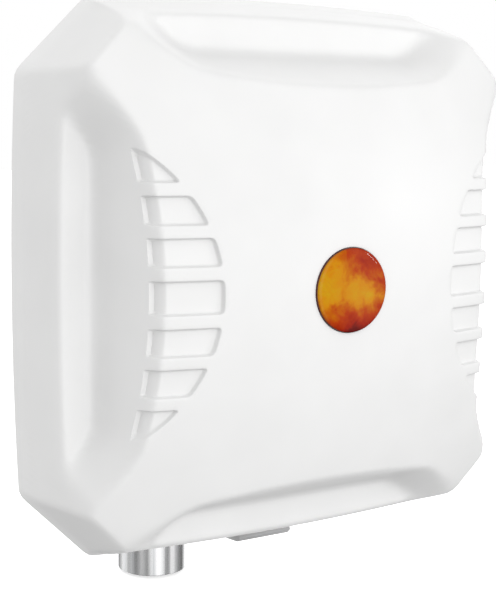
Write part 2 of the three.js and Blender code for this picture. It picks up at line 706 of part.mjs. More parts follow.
function makeClampBolts() {
  const seat = WEB_Y + SHEET + GAP;
  for (const [name, sign] of [["left", -1], ["right", 1]]) {
    const x = sign * CLAMP_BOLT_X;
    hexBolt(`clamp_bolt_${name}`, BOLT_R, 5.3, seat + CLAMP_BOLT_END, "Y", [x, -seat, PANEL_Z], -1);
    add(`jaw_washer_${name}`, washer(8, BOLT_R + RUN, seat, seat + 1.6, "Y", [x, 0, PANEL_Z]), zinc);
    hexNut(`jaw_nut_${name}`, seat + 1.9, seat + 8.4, "Y", [x, 0, PANEL_Z]);
  }
}

function makeMast() {
  const bore = MAST_R - MAST_WALL;
  add("mast_tube", washer(MAST_R, bore, 0, MAST_TOP, "Z", [0, 0, 0], 40), zinc);
  const cap = [[0, MAST_TOP - 14], [bore - GAP, MAST_TOP - 14], [bore - GAP, MAST_TOP + GAP],
    [MAST_R, MAST_TOP + GAP], [MAST_R, MAST_TOP + 2], [MAST_R - 3, MAST_TOP + 4], [0, MAST_TOP + 4.6]];
  add("mast_cap", turned(cap, "Z", [0, 0, 0], 32), knobBlack);
}

makeRadome();
makeBadge();
makeCover();
makeSeal();
makeCoverScrews();
makeReflector();
makeStandoffs();
makeFeedBoards();
makeDirector();
makeLeads();
makeCowl();
makeSockets();
makeBreather();
makePanelBracket();
makeBracketScrews();
makeTiltBolts();
makeClampBracket();
makeClampJaw();
makeClampBolts();
makeMast();

export default object;
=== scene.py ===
import math

import bpy
import bmesh
import numpy as np
from mathutils import Matrix, Vector, geometry


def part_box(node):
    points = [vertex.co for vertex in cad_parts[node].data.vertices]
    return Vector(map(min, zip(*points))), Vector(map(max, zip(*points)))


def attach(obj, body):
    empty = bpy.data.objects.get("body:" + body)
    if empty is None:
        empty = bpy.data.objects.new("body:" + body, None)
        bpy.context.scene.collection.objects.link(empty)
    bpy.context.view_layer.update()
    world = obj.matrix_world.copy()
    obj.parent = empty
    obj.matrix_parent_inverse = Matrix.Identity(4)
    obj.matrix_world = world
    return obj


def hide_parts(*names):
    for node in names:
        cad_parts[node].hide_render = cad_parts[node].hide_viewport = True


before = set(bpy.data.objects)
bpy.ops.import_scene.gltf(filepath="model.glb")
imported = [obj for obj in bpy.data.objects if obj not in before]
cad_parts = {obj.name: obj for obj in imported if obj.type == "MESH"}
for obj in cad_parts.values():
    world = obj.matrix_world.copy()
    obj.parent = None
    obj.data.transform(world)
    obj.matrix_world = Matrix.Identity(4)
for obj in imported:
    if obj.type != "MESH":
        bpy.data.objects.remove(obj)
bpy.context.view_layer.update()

MM = 0.001
MERGE = 2e-5                      # vertices closer than this, in metres, are one
HEX_SIDES = 48                    # points round a hexagon, a multiple of six

# ---- places taken from the frame ----------------------------------------------------------

RADOME_LOW, RADOME_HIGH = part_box("front_radome")
REAR_Y = RADOME_HIGH[1] / MM                       # the panel's rear plane
PANEL_Z = (RADOME_LOW[2] + RADOME_HIGH[2]) / 2 / MM
MAST_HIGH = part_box("mast_tube")[1]
BADGE_R = 19.5


def panel_point(x, h, z):
    """A point of the panel: x right, h forward of the rear plane, z up from the centre, in mm."""
    return (x * MM, (REAR_Y - h) * MM, (PANEL_Z + z) * MM)


# ---- camera -------------------------------------------------------------------------------

CAMERA_TARGET = Vector((-0.00656, -0.112, 0.17269))
CAMERA_AZIMUTH = math.radians(-32.674)
CAMERA_ELEVATION = math.radians(7.629)
CAMERA_ROLL = math.radians(0.732)
CAMERA_DISTANCE = 0.65994
CAMERA_LENS = 78.68


def make_camera():
    back = Vector((math.sin(CAMERA_AZIMUTH) * math.cos(CAMERA_ELEVATION),
                   -math.cos(CAMERA_AZIMUTH) * math.cos(CAMERA_ELEVATION),
                   math.sin(CAMERA_ELEVATION)))
    level = Vector((0, 0, 1)).cross(back).normalized()
    rise = back.cross(level)
    right = math.cos(CAMERA_ROLL) * level + math.sin(CAMERA_ROLL) * rise
    up = back.cross(right)
    turn = Matrix((right, up, back)).transposed().to_4x4()
    data = bpy.data.cameras.new("camera")
    data.lens = CAMERA_LENS
    data.sensor_width = 36
    data.clip_start = 0.02
    camera = bpy.data.objects.new("camera", data)
    camera.matrix_world = Matrix.Translation(CAMERA_TARGET + back * CAMERA_DISTANCE) @ turn
    bpy.context.scene.collection.objects.link(camera)
    bpy.context.scene.camera = camera


make_camera()

# ---- node helpers -------------------------------------------------------------------------


class Nodes:
    """A short way to write a node tree: add a node, set its values, link sockets."""

    def __init__(self, tree):
        self.tree = tree

    def add(self, kind, values=None, **settings):
        node = self.tree.nodes.new(kind)
        for name, value in settings.items():
            setattr(node, name, value)
        for socket, value in (values or {}).items():
            if isinstance(value, bpy.types.NodeSocket):
                self.tree.links.new(value, node.inputs[socket])
            else:
                node.inputs[socket].default_value = value
        return node

    def math(self, operation, a, b=0.0, c=0.0, clamp=False):
        node = self.add("ShaderNodeMath", {0: a, 1: b, 2: c}, operation=operation)
        node.use_clamp = clamp
        return node.outputs[0]

    def span(self, value, low, high, to_low=0.0, to_high=1.0):
        node = self.add("ShaderNodeMapRange",
                        {0: value, 1: low, 2: high, 3: to_low, 4: to_high})
        return node.outputs[0]

    def blend(self, factor, a, b):
        node = self.add("ShaderNodeMix", {0: factor, 6: a, 7: b}, data_type="RGBA")
        return node.outputs[2]


def grey(value):
    return (value, value, value, 1.0)


def new_group(name, inputs, outputs):
    """A shader node group with named sockets: (name, socket type, default) for each input."""
    tree = bpy.data.node_groups.new(name, "ShaderNodeTree")
    for label, kind, default in inputs:
        socket = tree.interface.new_socket(name=label, in_out="INPUT", socket_type=kind)
        if default is not None:
            socket.default_value = default
    for label, kind in outputs:
        tree.interface.new_socket(name=label, in_out="OUTPUT", socket_type=kind)
    nodes = Nodes(tree)
    return tree, nodes, nodes.add("NodeGroupInput"), nodes.add("NodeGroupOutput")


def make_grain_group():
    """Fine moulded grain with a slow waviness: a height, and a mask that varies the finish."""
    tree, n, start, end = new_group(
        "moulded_grain",
        [("Grain Size", "NodeSocketFloat", 0.6), ("Wave Size", "NodeSocketFloat", 30.0)],
        [("Height", "NodeSocketFloat"), ("Variation", "NodeSocketFloat")])
    place = n.add("ShaderNodeTexCoord").outputs["Object"]
    fine = n.math("DIVIDE", 1000.0, start.outputs["Grain Size"])
    slow = n.math("DIVIDE", 1000.0, start.outputs["Wave Size"])
    grain = n.add("ShaderNodeTexNoise", {"Vector": place, "Scale": fine, "Detail": 3.0})
    wave = n.add("ShaderNodeTexNoise", {"Vector": place, "Scale": slow, "Detail": 2.0})
    mixed = n.math("MULTIPLY_ADD", wave.outputs[0], 0.6, grain.outputs[0])
    n.tree.links.new(mixed, end.inputs["Height"])
    n.tree.links.new(wave.outputs[0], end.inputs["Variation"])
    return tree


def make_dust_and_shade_group():
    """A faint darker layer: dust on upward faces, and painted shade in concave corners, broken up by
    noise.
    """
    tree, n, start, end = new_group(
        "weather_film",
        [("Amount", "NodeSocketFloat", 0.3), ("Patch Size", "NodeSocketFloat", 18.0)],
        [("Film", "NodeSocketFloat")])
    about = n.add("ShaderNodeNewGeometry")
    up = n.add("ShaderNodeSeparateXYZ", {0: about.outputs["Normal"]}).outputs[2]
    facing = n.span(up, -0.1, 1.0, 0.15, 1.0)
    # painted shade: concave corners, found from pointiness, are darkened where shade falls
    corner = n.span(about.outputs["Pointiness"], 0.5, 0.42, 0.0, 1.0)
    place = n.add("ShaderNodeTexCoord").outputs["Object"]
    size = n.math("DIVIDE", 1000.0, start.outputs["Patch Size"])
    noise = n.add("ShaderNodeTexNoise", {"Vector": place, "Scale": size, "Detail": 5.0})
    patch = n.span(noise.outputs[0], 0.35, 0.7)
    # the larger of the dust on upward faces and the painted corner shade
    dust_and_corner_shade = n.math("MAXIMUM", n.math("MULTIPLY", facing, 0.5), corner)
    dust_and_shade_layer = n.math("MULTIPLY", n.math("MULTIPLY", dust_and_corner_shade, patch), start.outputs["Amount"], clamp=True)
    n.tree.links.new(dust_and_shade_layer, end.inputs["Film"])
    return tree


def make_wear_group():
    """Bright rubbed edges on metal, from how pointed the surface is, broken up by noise."""
    tree, n, start, end = new_group(
        "edge_wear",
        [("Amount", "NodeSocketFloat", 0.5), ("Break Up", "NodeSocketFloat", 4.0)],
        [("Wear", "NodeSocketFloat")])
    about = n.add("ShaderNodeNewGeometry")
    edge = n.span(about.outputs["Pointiness"], 0.51, 0.6)
    place = n.add("ShaderNodeTexCoord").outputs["Object"]
    size = n.math("DIVIDE", 1000.0, start.outputs["Break Up"])
    noise = n.add("ShaderNodeTexNoise", {"Vector": place, "Scale": size, "Detail": 4.0})
    broken = n.math("MULTIPLY", edge, n.span(noise.outputs[0], 0.35, 0.65))
    wear = n.math("MULTIPLY", broken, start.outputs["Amount"], clamp=True)
    n.tree.links.new(wear, end.inputs["Wear"])
    return tree


def make_drawing_and_reflection_streak_group():
    """Long streaks along a tube, partly drawing marks and partly painted reflection streaks:
    stretched noise along Z, wrapped round the axis.
    """
    tree, n, start, end = new_group(
        "drawn_streaks",
        [("Streak Width", "NodeSocketFloat", 1.2), ("Stretch", "NodeSocketFloat", 0.02)],
        [("Streak", "NodeSocketFloat"), ("Fine", "NodeSocketFloat")])
    place = n.add("ShaderNodeTexCoord").outputs["Object"]
    squash = n.add("ShaderNodeCombineXYZ", {0: 1.0, 1: 1.0, 2: start.outputs["Stretch"]}).outputs[0]
    drawn = n.add("ShaderNodeVectorMath", {0: place, 1: squash}, operation="MULTIPLY").outputs[0]
    size = n.math("DIVIDE", 1000.0, start.outputs["Streak Width"])
    broad = n.math("MULTIPLY", size, 0.3)
    wide = n.add("ShaderNodeTexNoise", {"Vector": drawn, "Scale": broad, "Detail": 1.0})
    fine = n.add("ShaderNodeTexNoise", {"Vector": drawn, "Scale": size, "Detail": 4.0})
    n.tree.links.new(wide.outputs[0], end.inputs["Streak"])
    n.tree.links.new(fine.outputs[0], end.inputs["Fine"])
    return tree


GRAIN = make_grain_group()
DUST_AND_SHADE = make_dust_and_shade_group()
WEAR = make_wear_group()
DRAWING_AND_REFLECTION_STREAKS = make_drawing_and_reflection_streak_group()


def new_material(name):
    material = bpy.data.materials.new(name)
    material.use_nodes = True
    material.node_tree.nodes.clear()
    n = Nodes(material.node_tree)
    shader = n.add("ShaderNodeBsdfPrincipled")
    out = n.add("ShaderNodeOutputMaterial")
    n.tree.links.new(shader.outputs[0], out.inputs[0])
    return material, n, shader


def group(n, tree, **values):
    node = n.add("ShaderNodeGroup")
    node.node_tree = tree
    for label, value in values.items():
        node.inputs[label.replace("_", " ")].default_value = value
    return node.outputs


def bump(n, shader, height, distance, strength=1.0):
    node = n.add("ShaderNodeBump", {"Strength": strength, "Distance": distance, "Height": height})
    n.tree.links.new(node.outputs[0], shader.inputs["Normal"])


def plastic(name, colour, dust_and_shade_colour, roughness, grain_size=0.6, dust_and_shade_layer=0.25, bump_mm=0.02):
    """Moulded plastic: a grain that breaks the gloss, a slow change of tone, and a darker layer of
    dust on upward faces with painted shade in concave corners.
    """
    material, n, shader = new_material(name)
    grain = group(n, GRAIN, Grain_Size=grain_size)
    dust_and_shade = group(n, DUST_AND_SHADE, Amount=dust_and_shade_layer)
    darker = tuple(c * 0.97 for c in colour[:3]) + (1.0,)
    tone = n.blend(n.span(grain["Variation"], 0.3, 0.7), darker, colour)
    # darker where dust lies on upward faces, and painted shade darkening concave corners
    n.tree.links.new(n.blend(dust_and_shade["Film"], tone, dust_and_shade_colour), shader.inputs["Base Color"])
    rough = n.span(grain["Variation"], 0.3, 0.7, roughness - 0.04, roughness + 0.05)
    n.tree.links.new(n.math("MULTIPLY_ADD", dust_and_shade["Film"], 0.25, rough), shader.inputs["Roughness"])
    bump(n, shader, grain["Height"], bump_mm * MM)
    return material


def metal(name, colour, dull, roughness, grain_size=1.0, wear=0.6, bump_mm=0.01, anisotropy=0.0):
    """Plated or bare metal: a cloudy tone, rubbed edges and a fine surface grain."""
    material, n, shader = new_material(name)
    grain = group(n, GRAIN, Grain_Size=grain_size, Wave_Size=9.0)
    rubbed = group(n, WEAR, Amount=wear)
    tone = n.blend(n.span(grain["Variation"], 0.3, 0.7), dull, colour)
    bright = tuple(min(1.0, c * 1.15) for c in colour[:3]) + (1.0,)
    n.tree.links.new(n.blend(rubbed["Wear"], tone, bright), shader.inputs["Base Color"])
    rough = n.span(grain["Variation"], 0.3, 0.7, roughness + 0.08, roughness - 0.04)
    n.tree.links.new(n.math("MULTIPLY_ADD", rubbed["Wear"], -0.1, rough), shader.inputs["Roughness"])
    shader.inputs["Metallic"].default_value = 1.0
    shader.inputs["Anisotropic"].default_value = anisotropy
    bump(n, shader, grain["Height"], bump_mm * MM)
    return material


RADOME_WHITE = plastic("radome_white", (0.72, 0.72, 0.718, 1), (0.60, 0.59, 0.56, 1), 0.42,
                       dust_and_shade_layer=0.10)
COVER_WHITE = plastic("cover_white", (0.74, 0.74, 0.735, 1), (0.6, 0.585, 0.55, 1), 0.5,
                      grain_size=0.9, dust_and_shade_layer=0.3, bump_mm=0.05)
COWL_GREY = plastic("cowl_grey", (0.40, 0.40, 0.405, 1), (0.5, 0.49, 0.47, 1), 0.5, dust_and_shade_layer=0.2,
                    bump_mm=0.04)
KNOB_BLACK = plastic("knob_black", (0.024, 0.024, 0.026, 1), (0.12, 0.115, 0.105, 1), 0.45,
                     grain_size=0.8, dust_and_shade_layer=0.3, bump_mm=0.06)
SEAL_RUBBER = plastic("seal_rubber", (0.03, 0.031, 0.033, 1), (0.1, 0.1, 0.095, 1), 0.75,
                      grain_size=0.4, dust_and_shade_layer=0.3, bump_mm=0.03)
NYLON = plastic("standoff_nylon", (0.78, 0.75, 0.67, 1), (0.6, 0.57, 0.5, 1), 0.5)
LEAD_JACKET = plastic("lead_jacket", (0.02, 0.02, 0.022, 1), (0.1, 0.1, 0.1, 1), 0.5,
                      grain_size=0.3)
STAINLESS = metal("stainless_steel", (0.72, 0.72, 0.73, 1), (0.55, 0.555, 0.57, 1), 0.26,
                  grain_size=0.5, wear=0.5)
NICKEL = metal("nickel_brass", (0.83, 0.74, 0.50, 1), (0.66, 0.57, 0.36, 1), 0.24,
               grain_size=0.4, wear=0.5)
ALUMINIUM = metal("aluminium_sheet", (0.80, 0.81, 0.82, 1), (0.66, 0.67, 0.69, 1), 0.36,
                  grain_size=0.8, wear=0.3, anisotropy=0.4)


def make_spangled_zinc():
    """Hot-dip zinc: crystal patches of slightly different tone and gloss."""
    material, n, shader = new_material("zinc_steel")
    place = n.add("ShaderNodeTexCoord").outputs["Object"]
    grain = group(n, GRAIN, Grain_Size=0.7, Wave_Size=14.0)
    wander = n.add("ShaderNodeTexNoise", {"Vector": place, "Scale": 160.0}).outputs[1]
    shifted = n.blend(0.06, place, wander)
    cells = n.add("ShaderNodeTexVoronoi", {"Vector": shifted, "Scale": 210.0})
    patch = n.add("ShaderNodeSeparateColor", {0: cells.outputs["Color"]}).outputs[0]
    rubbed = group(n, WEAR, Amount=0.6, Break_Up=3.0)
    dust_and_shade = group(n, DUST_AND_SHADE, Amount=0.35, Patch_Size=12.0)
    tone = n.blend(patch, (0.50, 0.515, 0.53, 1), (0.68, 0.69, 0.70, 1))
    tone = n.blend(rubbed["Wear"], tone, (0.80, 0.80, 0.80, 1))
    # darker where dust lies on upward faces, and painted shade darkening concave corners
    tone = n.blend(dust_and_shade["Film"], tone, (0.42, 0.40, 0.37, 1))
    n.tree.links.new(tone, shader.inputs["Base Color"])
    rough = n.span(patch, 0.0, 1.0, 0.34, 0.52)
    n.tree.links.new(n.math("MULTIPLY_ADD", dust_and_shade["Film"], 0.3, rough), shader.inputs["Roughness"])
    shader.inputs["Metallic"].default_value = 1.0
    height = n.math("MULTIPLY_ADD", patch, 0.4, grain["Height"])
    bump(n, shader, height, 0.02 * MM)
    return material


def make_mast_steel():
    material, n, shader = new_material("mast_drawn_steel")
    streaks = group(n, DRAWING_AND_REFLECTION_STREAKS, Streak_Width=1.6)
    dust_and_shade = group(n, DUST_AND_SHADE, Amount=0.25)
    wide = n.span(streaks["Streak"], 0.38, 0.62)
    fine = n.span(streaks["Fine"], 0.3, 0.7)
    # painted reflection streaks: dark and bright bands, and bright fine lines, in the base colour
    # copy reflected studio bands; the tube's drawing marks are in them too
    tone = n.blend(wide, (0.55, 0.56, 0.57, 1), (0.92, 0.925, 0.93, 1))
    tone = n.blend(n.math("MULTIPLY", fine, 0.35), tone, (0.97, 0.97, 0.97, 1))
    # darker where dust lies on upward faces, and painted shade darkening concave corners
    tone = n.blend(dust_and_shade["Film"], tone, (0.6, 0.58, 0.54, 1))
    n.tree.links.new(tone, shader.inputs["Base Color"])
    n.tree.links.new(n.span(fine, 0.0, 1.0, 0.2, 0.34), shader.inputs["Roughness"])
    shader.inputs["Metallic"].default_value = 1.0
    bump(n, shader, streaks["Fine"], 0.02 * MM)
    return material


def make_board_green():
    """A feed board: green solder mask with faint woven glass and copper areas showing."""
    material, n, shader = new_material("board_green")
    place = n.add("ShaderNodeTexCoord").outputs["Object"]
    grain = group(n, GRAIN, Grain_Size=0.4)
    weave = n.add("ShaderNodeTexBrick", {"Vector": place, "Scale": 700.0, "Mortar Size": 0.03})
    tracks = n.add("ShaderNodeTexWave", {"Vector": place, "Scale": 60.0, "Distortion": 2.0})
    copper = n.span(tracks.outputs[1], 0.78, 0.82, 0.0, 0.5)
    tone = n.blend(n.span(grain["Variation"], 0.3, 0.7), (0.03, 0.14, 0.06, 1),
                   (0.04, 0.19, 0.08, 1))
    tone = n.blend(copper, tone, (0.10, 0.26, 0.09, 1))
    n.tree.links.new(tone, shader.inputs["Base Color"])
    n.tree.links.new(n.span(weave.outputs[1], 0.0, 1.0, 0.3, 0.45), shader.inputs["Roughness"])
    bump(n, shader, n.math("ADD", weave.outputs[1], copper), 0.02 * MM)
    return material


def make_badge_ink():
    material, n, shader = new_material("badge_rim")
    grain = group(n, GRAIN, Grain_Size=0.3)
    tone = n.blend(n.span(grain["Variation"], 0.3, 0.7), (0.045, 0.006, 0.004, 1),
                   (0.1, 0.014, 0.006, 1))
    n.tree.links.new(tone, shader.inputs["Base Color"])
    n.tree.links.new(n.span(grain["Height"], 0.3, 1.2, 0.2, 0.35), shader.inputs["Roughness"])
    bump(n, shader, grain["Height"], 0.005 * MM)
    return material


# Stops of the badge's warm gradient, from its glowing middle outward.
BADGE_TONES = ((0.0, (0.48, 0.26, 0.004, 1)), (0.26, (0.50, 0.19, 0.002, 1)),
               (0.42, (0.42, 0.095, 0.001, 1)), (0.58, (0.36, 0.035, 0.001, 1)),
               (0.78, (0.27, 0.011, 0.001, 1)), (1.0, (0.11, 0.003, 0.001, 1)))


def make_badge_resin():
    """Printed warm gradient under clear resin: amber across the middle, red above and below."""
    material, n, shader = new_material("badge_resin")
    place = n.add("ShaderNodeTexCoord").outputs["Object"]
    centred = n.add("ShaderNodeMapping", {
        "Vector": place, "Location": (0.0, 0.0, -PANEL_Z / BADGE_R),
        "Scale": (1000 / BADGE_R,) * 3}).outputs[0]
    swirl = n.add("ShaderNodeTexNoise", {"Vector": centred, "Scale": 1.6, "Detail": 4.0,
                                         "Roughness": 0.55, "Distortion": 0.7})
    streak = n.add("ShaderNodeTexNoise", {"Vector": centred, "Scale": 3.4, "Detail": 3.0,
                                          "Distortion": 1.5})
    parts = n.add("ShaderNodeSeparateXYZ", {0: centred}).outputs
    above = n.math("MULTIPLY_ADD", parts[0], 0.55, n.math("MULTIPLY", parts[2], 0.85))
    upper = n.span(above, 0.10, 0.95, 0.18, 0.78)
    below = n.math("MULTIPLY_ADD", parts[0], 0.12, n.math("MULTIPLY", parts[2], -1.0))
    lower = n.span(below, 0.12, 0.98, 0.18, 0.98)
    share = n.math("MAXIMUM", upper, lower)
    share = n.math("MULTIPLY_ADD", n.math("SUBTRACT", swirl.outputs[0], 0.5), 0.85, share)
    share = n.math("MULTIPLY_ADD", n.math("SUBTRACT", streak.outputs[0], 0.5), 0.30, share)
    ramp = n.add("ShaderNodeValToRGB", {0: share})
    stops = ramp.color_ramp.elements
    for position, colour in BADGE_TONES[1:-1]:
        stops.new(position)
    for stop, (position, colour) in zip(stops, BADGE_TONES):
        stop.position = position
        stop.color = colour
    n.tree.links.new(ramp.outputs[0], shader.inputs["Base Color"])
    n.tree.links.new(n.span(streak.outputs[0], 0.3, 0.7, 0.3, 0.4), shader.inputs["Roughness"])
    shader.inputs["Specular IOR Level"].default_value = 0.0
    shader.inputs["Coat Weight"].default_value = 0.3
    shader.inputs["Coat Roughness"].default_value = 0.03
    shader.inputs["Coat IOR"].default_value = 1.5
    bump(n, shader, swirl.outputs[0], 0.01 * MM)
    return material


ZINC = make_spangled_zinc()
MAST_STEEL = make_mast_steel()
BOARD_GREEN = make_board_green()
BADGE_INK = make_badge_ink()
BADGE_RESIN = make_badge_resin()

# ---- mesh helpers -------------------------------------------------------------------------

# Each axis as a turn of (u, v, w), where w runs along the axis.
ALONG = {
    "X": lambda u, v, w: (w, u, v),
    "Y": lambda u, v, w: (v, w, u),
    "Z": lambda u, v, w: (u, v, w),
}


def to_piece(name, bm, body, material, replaces, angle=35):
    """Closes a mesh's seams, turns its faces outward and makes it a finished piece."""
    bmesh.ops.remove_doubles(bm, verts=bm.verts, dist=MERGE)
    bmesh.ops.recalc_face_normals(bm, faces=bm.faces)
    mesh = bpy.data.meshes.new(name)
    bm.to_mesh(mesh)
    bm.free()
    mesh.materials.append(material)
    for face in mesh.polygons:
        face.use_smooth = True
    mesh.set_sharp_from_angle(angle=math.radians(angle))
    piece = bpy.data.objects.new(name, mesh)
    bpy.context.scene.collection.objects.link(piece)
    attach(piece, body)
    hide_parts(*replaces)
    return piece


def loft(bm, rings, closed=False, capped=False):
    """Quads between each ring of points and the next; capped closes the first and last ring."""
    made = [[bm.verts.new(p) for p in ring] for ring in rings]
    pairs = list(zip(made, made[1:]))
    if closed:
        pairs.append((made[-1], made[0]))
    for ring, after in pairs:
        for i in range(len(ring)):
            j = (i + 1) % len(ring)
            bm.faces.new((ring[i], ring[j], after[j], after[i]))
    if capped:
        bm.faces.new(made[0])
        bm.faces.new(made[-1])


def eased(profile, radius, closed=False):
    """The profile with each corner rounded off; corners on the axis stay."""
    points = []
    count = len(profile)
    for i, here in enumerate(profile):
        ends = i in (0, count - 1) and not closed
        if ends or here[0] == 0:
            points.append(here)
            continue
        here = np.array(here, float)
        before = np.array(profile[i - 1], float) - here
        after = np.array(profile[(i + 1) % count], float) - here
        reach = min(radius, 0.45 * np.linalg.norm(before), 0.45 * np.linalg.norm(after))
        a = here + before / np.linalg.norm(before) * reach
        c = here + after / np.linalg.norm(after) * reach
        for t in (0.0, 0.33, 0.67, 1.0):
            points.append(tuple((1 - t) ** 2 * a + 2 * t * (1 - t) * here + t * t * c))
    return points


def ring_point(axis, at, r, a, w):
    """A point at radius r and angle a round an axis through `at`, w along it."""
    u, v, along = ALONG[axis](r * math.cos(a), r * math.sin(a), w)
    return ((at[0] + u) * MM, (at[1] + v) * MM, (at[2] + along) * MM)


def turned(bm, profile, axis, at, sides=48, ease=0.3, closed=False):
    """A turned shape about an axis through `at`; profile points are (radius, distance along)."""
    rings = []
    for r, w in eased(profile, ease, closed):
        rings.append([ring_point(axis, at, r, i * 2 * math.pi / sides, w) for i in range(sides)])
    loft(bm, rings, closed=closed)


def hexagon_body(bm, corner, low, high, axis, at, bore=0.0, ease_low=False):
    """A hexagon head or nut, its corners turned off on a cone as on the real ones."""
    apothem = corner * math.cos(math.pi / 6)
    flat_r = 0.96 * apothem
    rings = [[] for _ in range(6)]
    for i in range(HEX_SIDES):
        a = i * 2 * math.pi / HEX_SIDES
        edge = apothem / math.cos((a % (math.pi / 3)) - math.pi / 6)
        drop = (edge - flat_r) * math.tan(math.pi / 6)
        lower = low + (drop if ease_low else 0.0)
        rows = [(bore, low), (flat_r if ease_low else edge, low), (edge, lower),
                (edge, high - drop), (flat_r, high), (bore, high)]
        for ring, (r, w) in zip(rings, rows):
            ring.append(ring_point(axis, at, r, a, w))
    loft(bm, rings, closed=bore > 0)


def rounded_box(bm, low, high, radius):
    made = bmesh.ops.create_cube(bm, size=1.0)["verts"]
    size = Vector(b - a for a, b in zip(low, high)) * MM
    middle = Vector((a + b) / 2 for a, b in zip(low, high)) * MM
    for vert in made:
        vert.co = Vector(c * k for c, k in zip(vert.co, size)) + middle
    edges = list({edge for vert in made for edge in vert.link_edges})
    bmesh.ops.bevel(bm, geom=edges, offset=radius * MM, segments=3, profile=0.5, affect="EDGES")


def refined(node_name, bevel_mm, segments=2):
    """A CAD solid with its loose triangles joined, flat faces merged and edges eased."""
    bm = bmesh.new()
    bm.from_mesh(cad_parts[node_name].data)
    bmesh.ops.remove_doubles(bm, verts=bm.verts, dist=MERGE)
    bmesh.ops.dissolve_limit(bm, angle_limit=math.radians(1), verts=bm.verts, edges=bm.edges)
    sharp = [e for e in bm.edges if e.is_manifold and e.calc_face_angle() > math.radians(28)]
    bmesh.ops.bevel(bm, geom=sharp, offset=bevel_mm * MM, segments=segments, profile=0.5,
                    affect="EDGES", clamp_overlap=True)
    return bm


# ---- geometry node trees ------------------------------------------------------------------


def new_geometry_tree(name, inputs):
    """A geometry tree with a Geometry input and output and the named inputs."""
    tree = bpy.data.node_groups.new(name, "GeometryNodeTree")
    tree.interface.new_socket(name="Geometry", in_out="INPUT", socket_type="NodeSocketGeometry")
    for label, kind, default in inputs:
        socket = tree.interface.new_socket(name=label, in_out="INPUT", socket_type=kind)
        if default is not None:
            socket.default_value = default
    tree.interface.new_socket(name="Geometry", in_out="OUTPUT", socket_type="NodeSocketGeometry")
    nodes = Nodes(tree)
    return nodes, nodes.add("NodeGroupInput").outputs, nodes.add("NodeGroupOutput")


def end_tree(n, geometry_socket, material_socket, end):
    real = n.add("GeometryNodeRealizeInstances", {0: geometry_socket}).outputs[0]
    dressed = n.add("GeometryNodeSetMaterial", {"Geometry": real, "Material": material_socket})
    n.tree.links.new(dressed.outputs[0], end.inputs[0])


def make_thread_tree():
    """A thread's ridge: a triangle swept along a helix about Z, upward from the origin."""
    n, start, end = new_geometry_tree("thread_ridge", [
        ("Radius", "NodeSocketFloat", 0.004), ("Pitch", "NodeSocketFloat", 0.00125),
        ("Length", "NodeSocketFloat", 0.02), ("Depth", "NodeSocketFloat", 0.0005),
        ("Material", "NodeSocketMaterial", None)])
    turns = n.math("DIVIDE", start["Length"], start["Pitch"])
    helix = n.add("GeometryNodeCurveSpiral", {
        "Resolution": 24, "Rotations": turns, "Start Radius": start["Radius"],
        "End Radius": start["Radius"], "Height": start["Length"]}).outputs[0]
    profile = n.add("GeometryNodeCurvePrimitiveCircle", {"Resolution": 3, "Radius": start["Depth"]})
    ridge = n.add("GeometryNodeCurveToMesh", {0: helix, 1: profile.outputs[0]})
    ridge.inputs["Fill Caps"].default_value = True
    end_tree(n, ridge.outputs[0], start["Material"], end)
    return n.tree


def make_fan_tree():
    """Copies a shape in short rows, then turns each row about Y to stand at a number of sides."""
    n, start, end = new_geometry_tree("fan_of_rows", [
        ("Sides", "NodeSocketInt", 4), ("First Side", "NodeSocketFloat", 0.0),
        ("Side Step", "NodeSocketFloat", math.pi / 2), ("Per Side", "NodeSocketInt", 1),
        ("Spacing", "NodeSocketFloat", 0.0), ("Material", "NodeSocketMaterial", None)])
    gaps = n.math("SUBTRACT", start["Per Side"], 1.0)
    low = n.math("MULTIPLY", n.math("MULTIPLY", gaps, start["Spacing"]), -0.5)
    first = n.add("ShaderNodeCombineXYZ", {2: low}).outputs[0]
    step = n.add("ShaderNodeCombineXYZ", {2: start["Spacing"]}).outputs[0]
    line = n.add("GeometryNodeMeshLine", {
        "Count": start["Per Side"], "Start Location": first, "Offset": step}).outputs[0]
    row = n.add("GeometryNodeInstanceOnPoints", {"Points": line, "Instance": start["Geometry"]})
    sides = n.add("GeometryNodeMeshLine", {
        "Count": start["Sides"], "Offset": (0.0, 0.0, 0.0)}).outputs[0]
    index = n.add("GeometryNodeInputIndex").outputs[0]
    angle = n.math("MULTIPLY_ADD", index, start["Side Step"], start["First Side"])
    turn = n.add("ShaderNodeCombineXYZ", {1: angle}).outputs[0]
    fan = n.add("GeometryNodeInstanceOnPoints", {
        "Points": sides, "Instance": row.outputs[0], "Rotation": turn})
    end_tree(n, fan.outputs[0], start["Material"], end)
    return n.tree


THREAD = make_thread_tree()
FAN = make_fan_tree()


def grown(tree, material, base=None, **values):
    """The plain mesh that a geometry tree makes from a base mesh and its inputs' values."""
    holder = bpy.data.objects.new("growing", base or bpy.data.meshes.new("seed"))
    bpy.context.scene.collection.objects.link(holder)
    modifier = holder.modifiers.new("grow", "NODES")
    modifier.node_group = tree
    values["Material"] = material
    for item in tree.interface.items_tree:
        label = item.name.replace(" ", "_")
        if item.in_out == "INPUT" and label in values:
            modifier[item.identifier] = values[label]
    graph = bpy.context.evaluated_depsgraph_get()
    mesh = bpy.data.meshes.new_from_object(holder.evaluated_get(graph))
    bpy.data.objects.remove(holder)
    return mesh


def add_mesh(bm, mesh, matrix=None):
    if matrix:
        mesh.transform(matrix)
    bm.from_mesh(mesh)


def as_mesh(bm):
    mesh = bpy.data.meshes.new("shape")
    bm.to_mesh(mesh)
    bm.free()
    return mesh


TURN_TO = {
    "X": Matrix(((0, 0, 1), (1, 0, 0), (0, 1, 0))).to_4x4(),
    "Y": Matrix(((0, 1, 0), (0, 0, 1), (1, 0, 0))).to_4x4(),
    "Z": Matrix.Identity(4),
}


